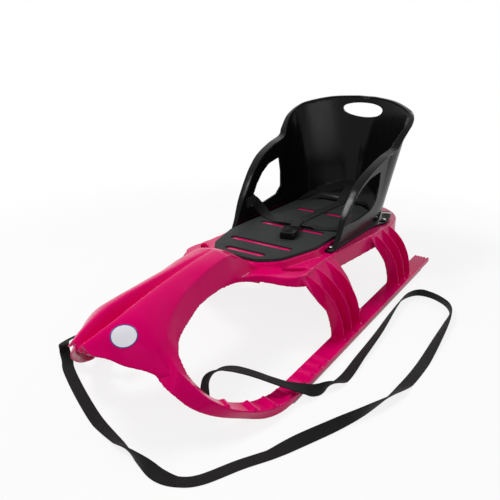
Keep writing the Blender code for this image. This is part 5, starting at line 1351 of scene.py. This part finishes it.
class SLED_OT_harness(bpy.types.Operator):
    """Sew the lap belt, the crotch strap and the two short rear straps"""
    bl_idname = "sled.harness"
    bl_label = "Harness"

    def execute(self, context):
        finish = webbing_finish(colours().webbing, "harness_webbing")
        t = WEB_THICKNESS / 2
        lie = LAP_HEIGHT + t
        middle = buckle_place(LAP_CROSSING, 0.0, lie)
        x = np.array([-0.0250, -0.0070, middle[0], 0.0250, 0.0400])
        y = middle[1] + 0.08 * (x - middle[0])
        mirror = np.array([-1, 1, 1])
        arm, arm_across = np.array(LAP_ARM), np.array(LAP_ARM_ACROSS)
        points = np.vstack([arm[::-1] * mirror, np.column_stack([x, y, deck_z(y) + lie + 0.0002]), arm])
        across = np.vstack([arm_across[::-1] * mirror, np.tile((0, 1, -DECK_FALL), (5, 1)), arm_across])
        line, across = curve_through(points, 220), spread(points, across, 220)
        belt = webbing("lap_belt_woven", line, across, WEB_WIDTH, WEB_THICKNESS)
        hand_in(belt, "sled", "webbing", finish, "lap_belt")
        (x0, x1), (y0, y1) = BELT_LOOP
        ring = rounded(rectangle(x0 + t, x1 - t, y0, y1 - t), [0.0022] * 4, 8)
        for name, side in (("belt_loop_left", 1), ("belt_loop_right", -1)):
            line = np.column_stack([side * ring[:, 0], ring[:, 1], np.full(len(ring), LAP_LOOP_Z)])
            across = np.tile((0, 0, 1.0), (len(ring), 1))
            loop = webbing(name, line, across, WEB_WIDTH, WEB_THICKNESS, closed=True)
            hand_in(loop, "sled", "webbing", finish)
        run = np.array(CROTCH_ON_MAT)
        points = np.vstack([buckle_place(np.array([0.0048, 0.03, 0.06, 0.088]), 0.0, WEB_LEVEL),
                            np.column_stack([run, deck_z(run[:, 1]) + WEB_LEVEL]), CROTCH_UP])
        across = np.tile((1.0, 0, 0), (200, 1))
        strap = webbing("crotch_strap_woven", curve_through(points, 200), across, WEB_WIDTH, WEB_THICKNESS)
        hand_in(strap, "sled", "webbing", finish, "crotch_strap")
        lie = -SIDE_DROP + 2 * GAP + FOOT_THICKNESS + t
        x, y, lift = np.array(REAR_STRAP).T
        for side, name in ((1, "rear_strap_left"), (-1, "rear_strap_right")):
            points = np.column_stack([side * x, y, deck_z(y) + lie + lift])
            line, across = curve_through(points, 60), np.tile((1.0, side * 0.35, 0), (60, 1))
            strap = webbing(name + "_woven", line, across, REAR_STRAP_WIDTH, WEB_THICKNESS)
            hand_in(strap, "sled", "webbing", finish, name)
        (s0, s1), (w0, w1) = TONGUE_LOOP
        ring = rounded(rectangle(s0 + t, s1 - t, w0 + t, w1 - t), [0.0026] * 4, 8)
        line = buckle_place(ring[:, 0], 0.0, ring[:, 1])
        way = buckle_place(0.0, 1.0, 0.0) - buckle_place(0.0, 0.0, 0.0)
        across = np.tile(way, (len(ring), 1))
        loop = webbing("tongue_loop_woven", line, across, TONGUE_LOOP_WIDTH, WEB_THICKNESS, closed=True)
        hand_in(loop, "tongue", "webbing", finish, "tongue_loop")
        return {"FINISHED"}


class SLED_OT_buckle(bpy.types.Operator):
    """Round the edges of the buckle's parts and of the strap's stop"""
    bl_idname = "sled.buckle"
    bl_label = "Buckle"

    def execute(self, context):
        finish = black_finish([c * 1.3 for c in colours().shell], "buckle_plastic", 0.3)
        width = sizes().buckle_bevel
        bodies = {"buckle_housing": "sled", "buckle_button": "button", "buckle_tongue": "tongue",
                  "strap_stop": "sled"}
        for node, body in bodies.items():
            hand_in(softened_copy(node + "_moulded", node, width), body, "black", finish, node)
        return {"FINISHED"}


class SLED_OT_metal(bpy.types.Operator):
    """Plate the screws, nuts, rivets, keepers and runner rails"""
    bl_idname = "sled.metal"
    bl_label = "Metal"

    def execute(self, context):
        finish = steel_finish(colours().steel)
        metal = ("backrest_screw", "backrest_nut", "rail_rivet", "runner_rail", "pull_strap_screw",
                 "strap_keeper")
        for node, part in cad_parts.items():
            if node.startswith(metal):
                for slot in part.material_slots:
                    slot.material = finish
        return {"FINISHED"}


class SLED_PT_sidebar(bpy.types.Panel):
    """Buttons and settings for the sled's pieces"""
    bl_label = "Toddler sled"
    bl_space_type = "VIEW_3D"
    bl_region_type = "UI"
    bl_category = "Sled"

    def draw(self, context):
        for kind in OPERATORS:
            self.layout.operator(kind.bl_idname)
        for group in (sizes(), colours()):
            for key in group.bl_rna.properties.keys():
                if key not in ("rna_type", "name"):
                    self.layout.prop(group, key)


OPERATORS = (SLED_OT_stage, SLED_OT_pull_strap, SLED_OT_body, SLED_OT_sticker, SLED_OT_mat,
             SLED_OT_back_shell, SLED_OT_harness, SLED_OT_buckle, SLED_OT_metal)
CLASSES = (SledSizes, SledColours, *OPERATORS, SLED_PT_sidebar)


def register():
    for kind in CLASSES:
        bpy.utils.register_class(kind)
    bpy.types.Scene.sled_sizes = bpy.props.PointerProperty(type=SledSizes)
    bpy.types.Scene.sled_colours = bpy.props.PointerProperty(type=SledColours)


def unregister():
    del bpy.types.Scene.sled_colours
    del bpy.types.Scene.sled_sizes
    for kind in reversed(CLASSES):
        bpy.utils.unregister_class(kind)


def main():
    register()
    bpy.ops.sled.stage()
    bpy.ops.sled.pull_strap()
    bpy.ops.sled.body()
    bpy.ops.sled.sticker()
    bpy.ops.sled.mat()
    bpy.ops.sled.back_shell()
    bpy.ops.sled.harness()
    bpy.ops.sled.buckle()
    bpy.ops.sled.metal()
    sizes_of = lambda box: [[float(v) for v in corner] for corner in box]
    {"cad": sizes_of(CAD_BOX), "visual": sizes_of(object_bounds())}


if __name__ == "__main__":
    main()
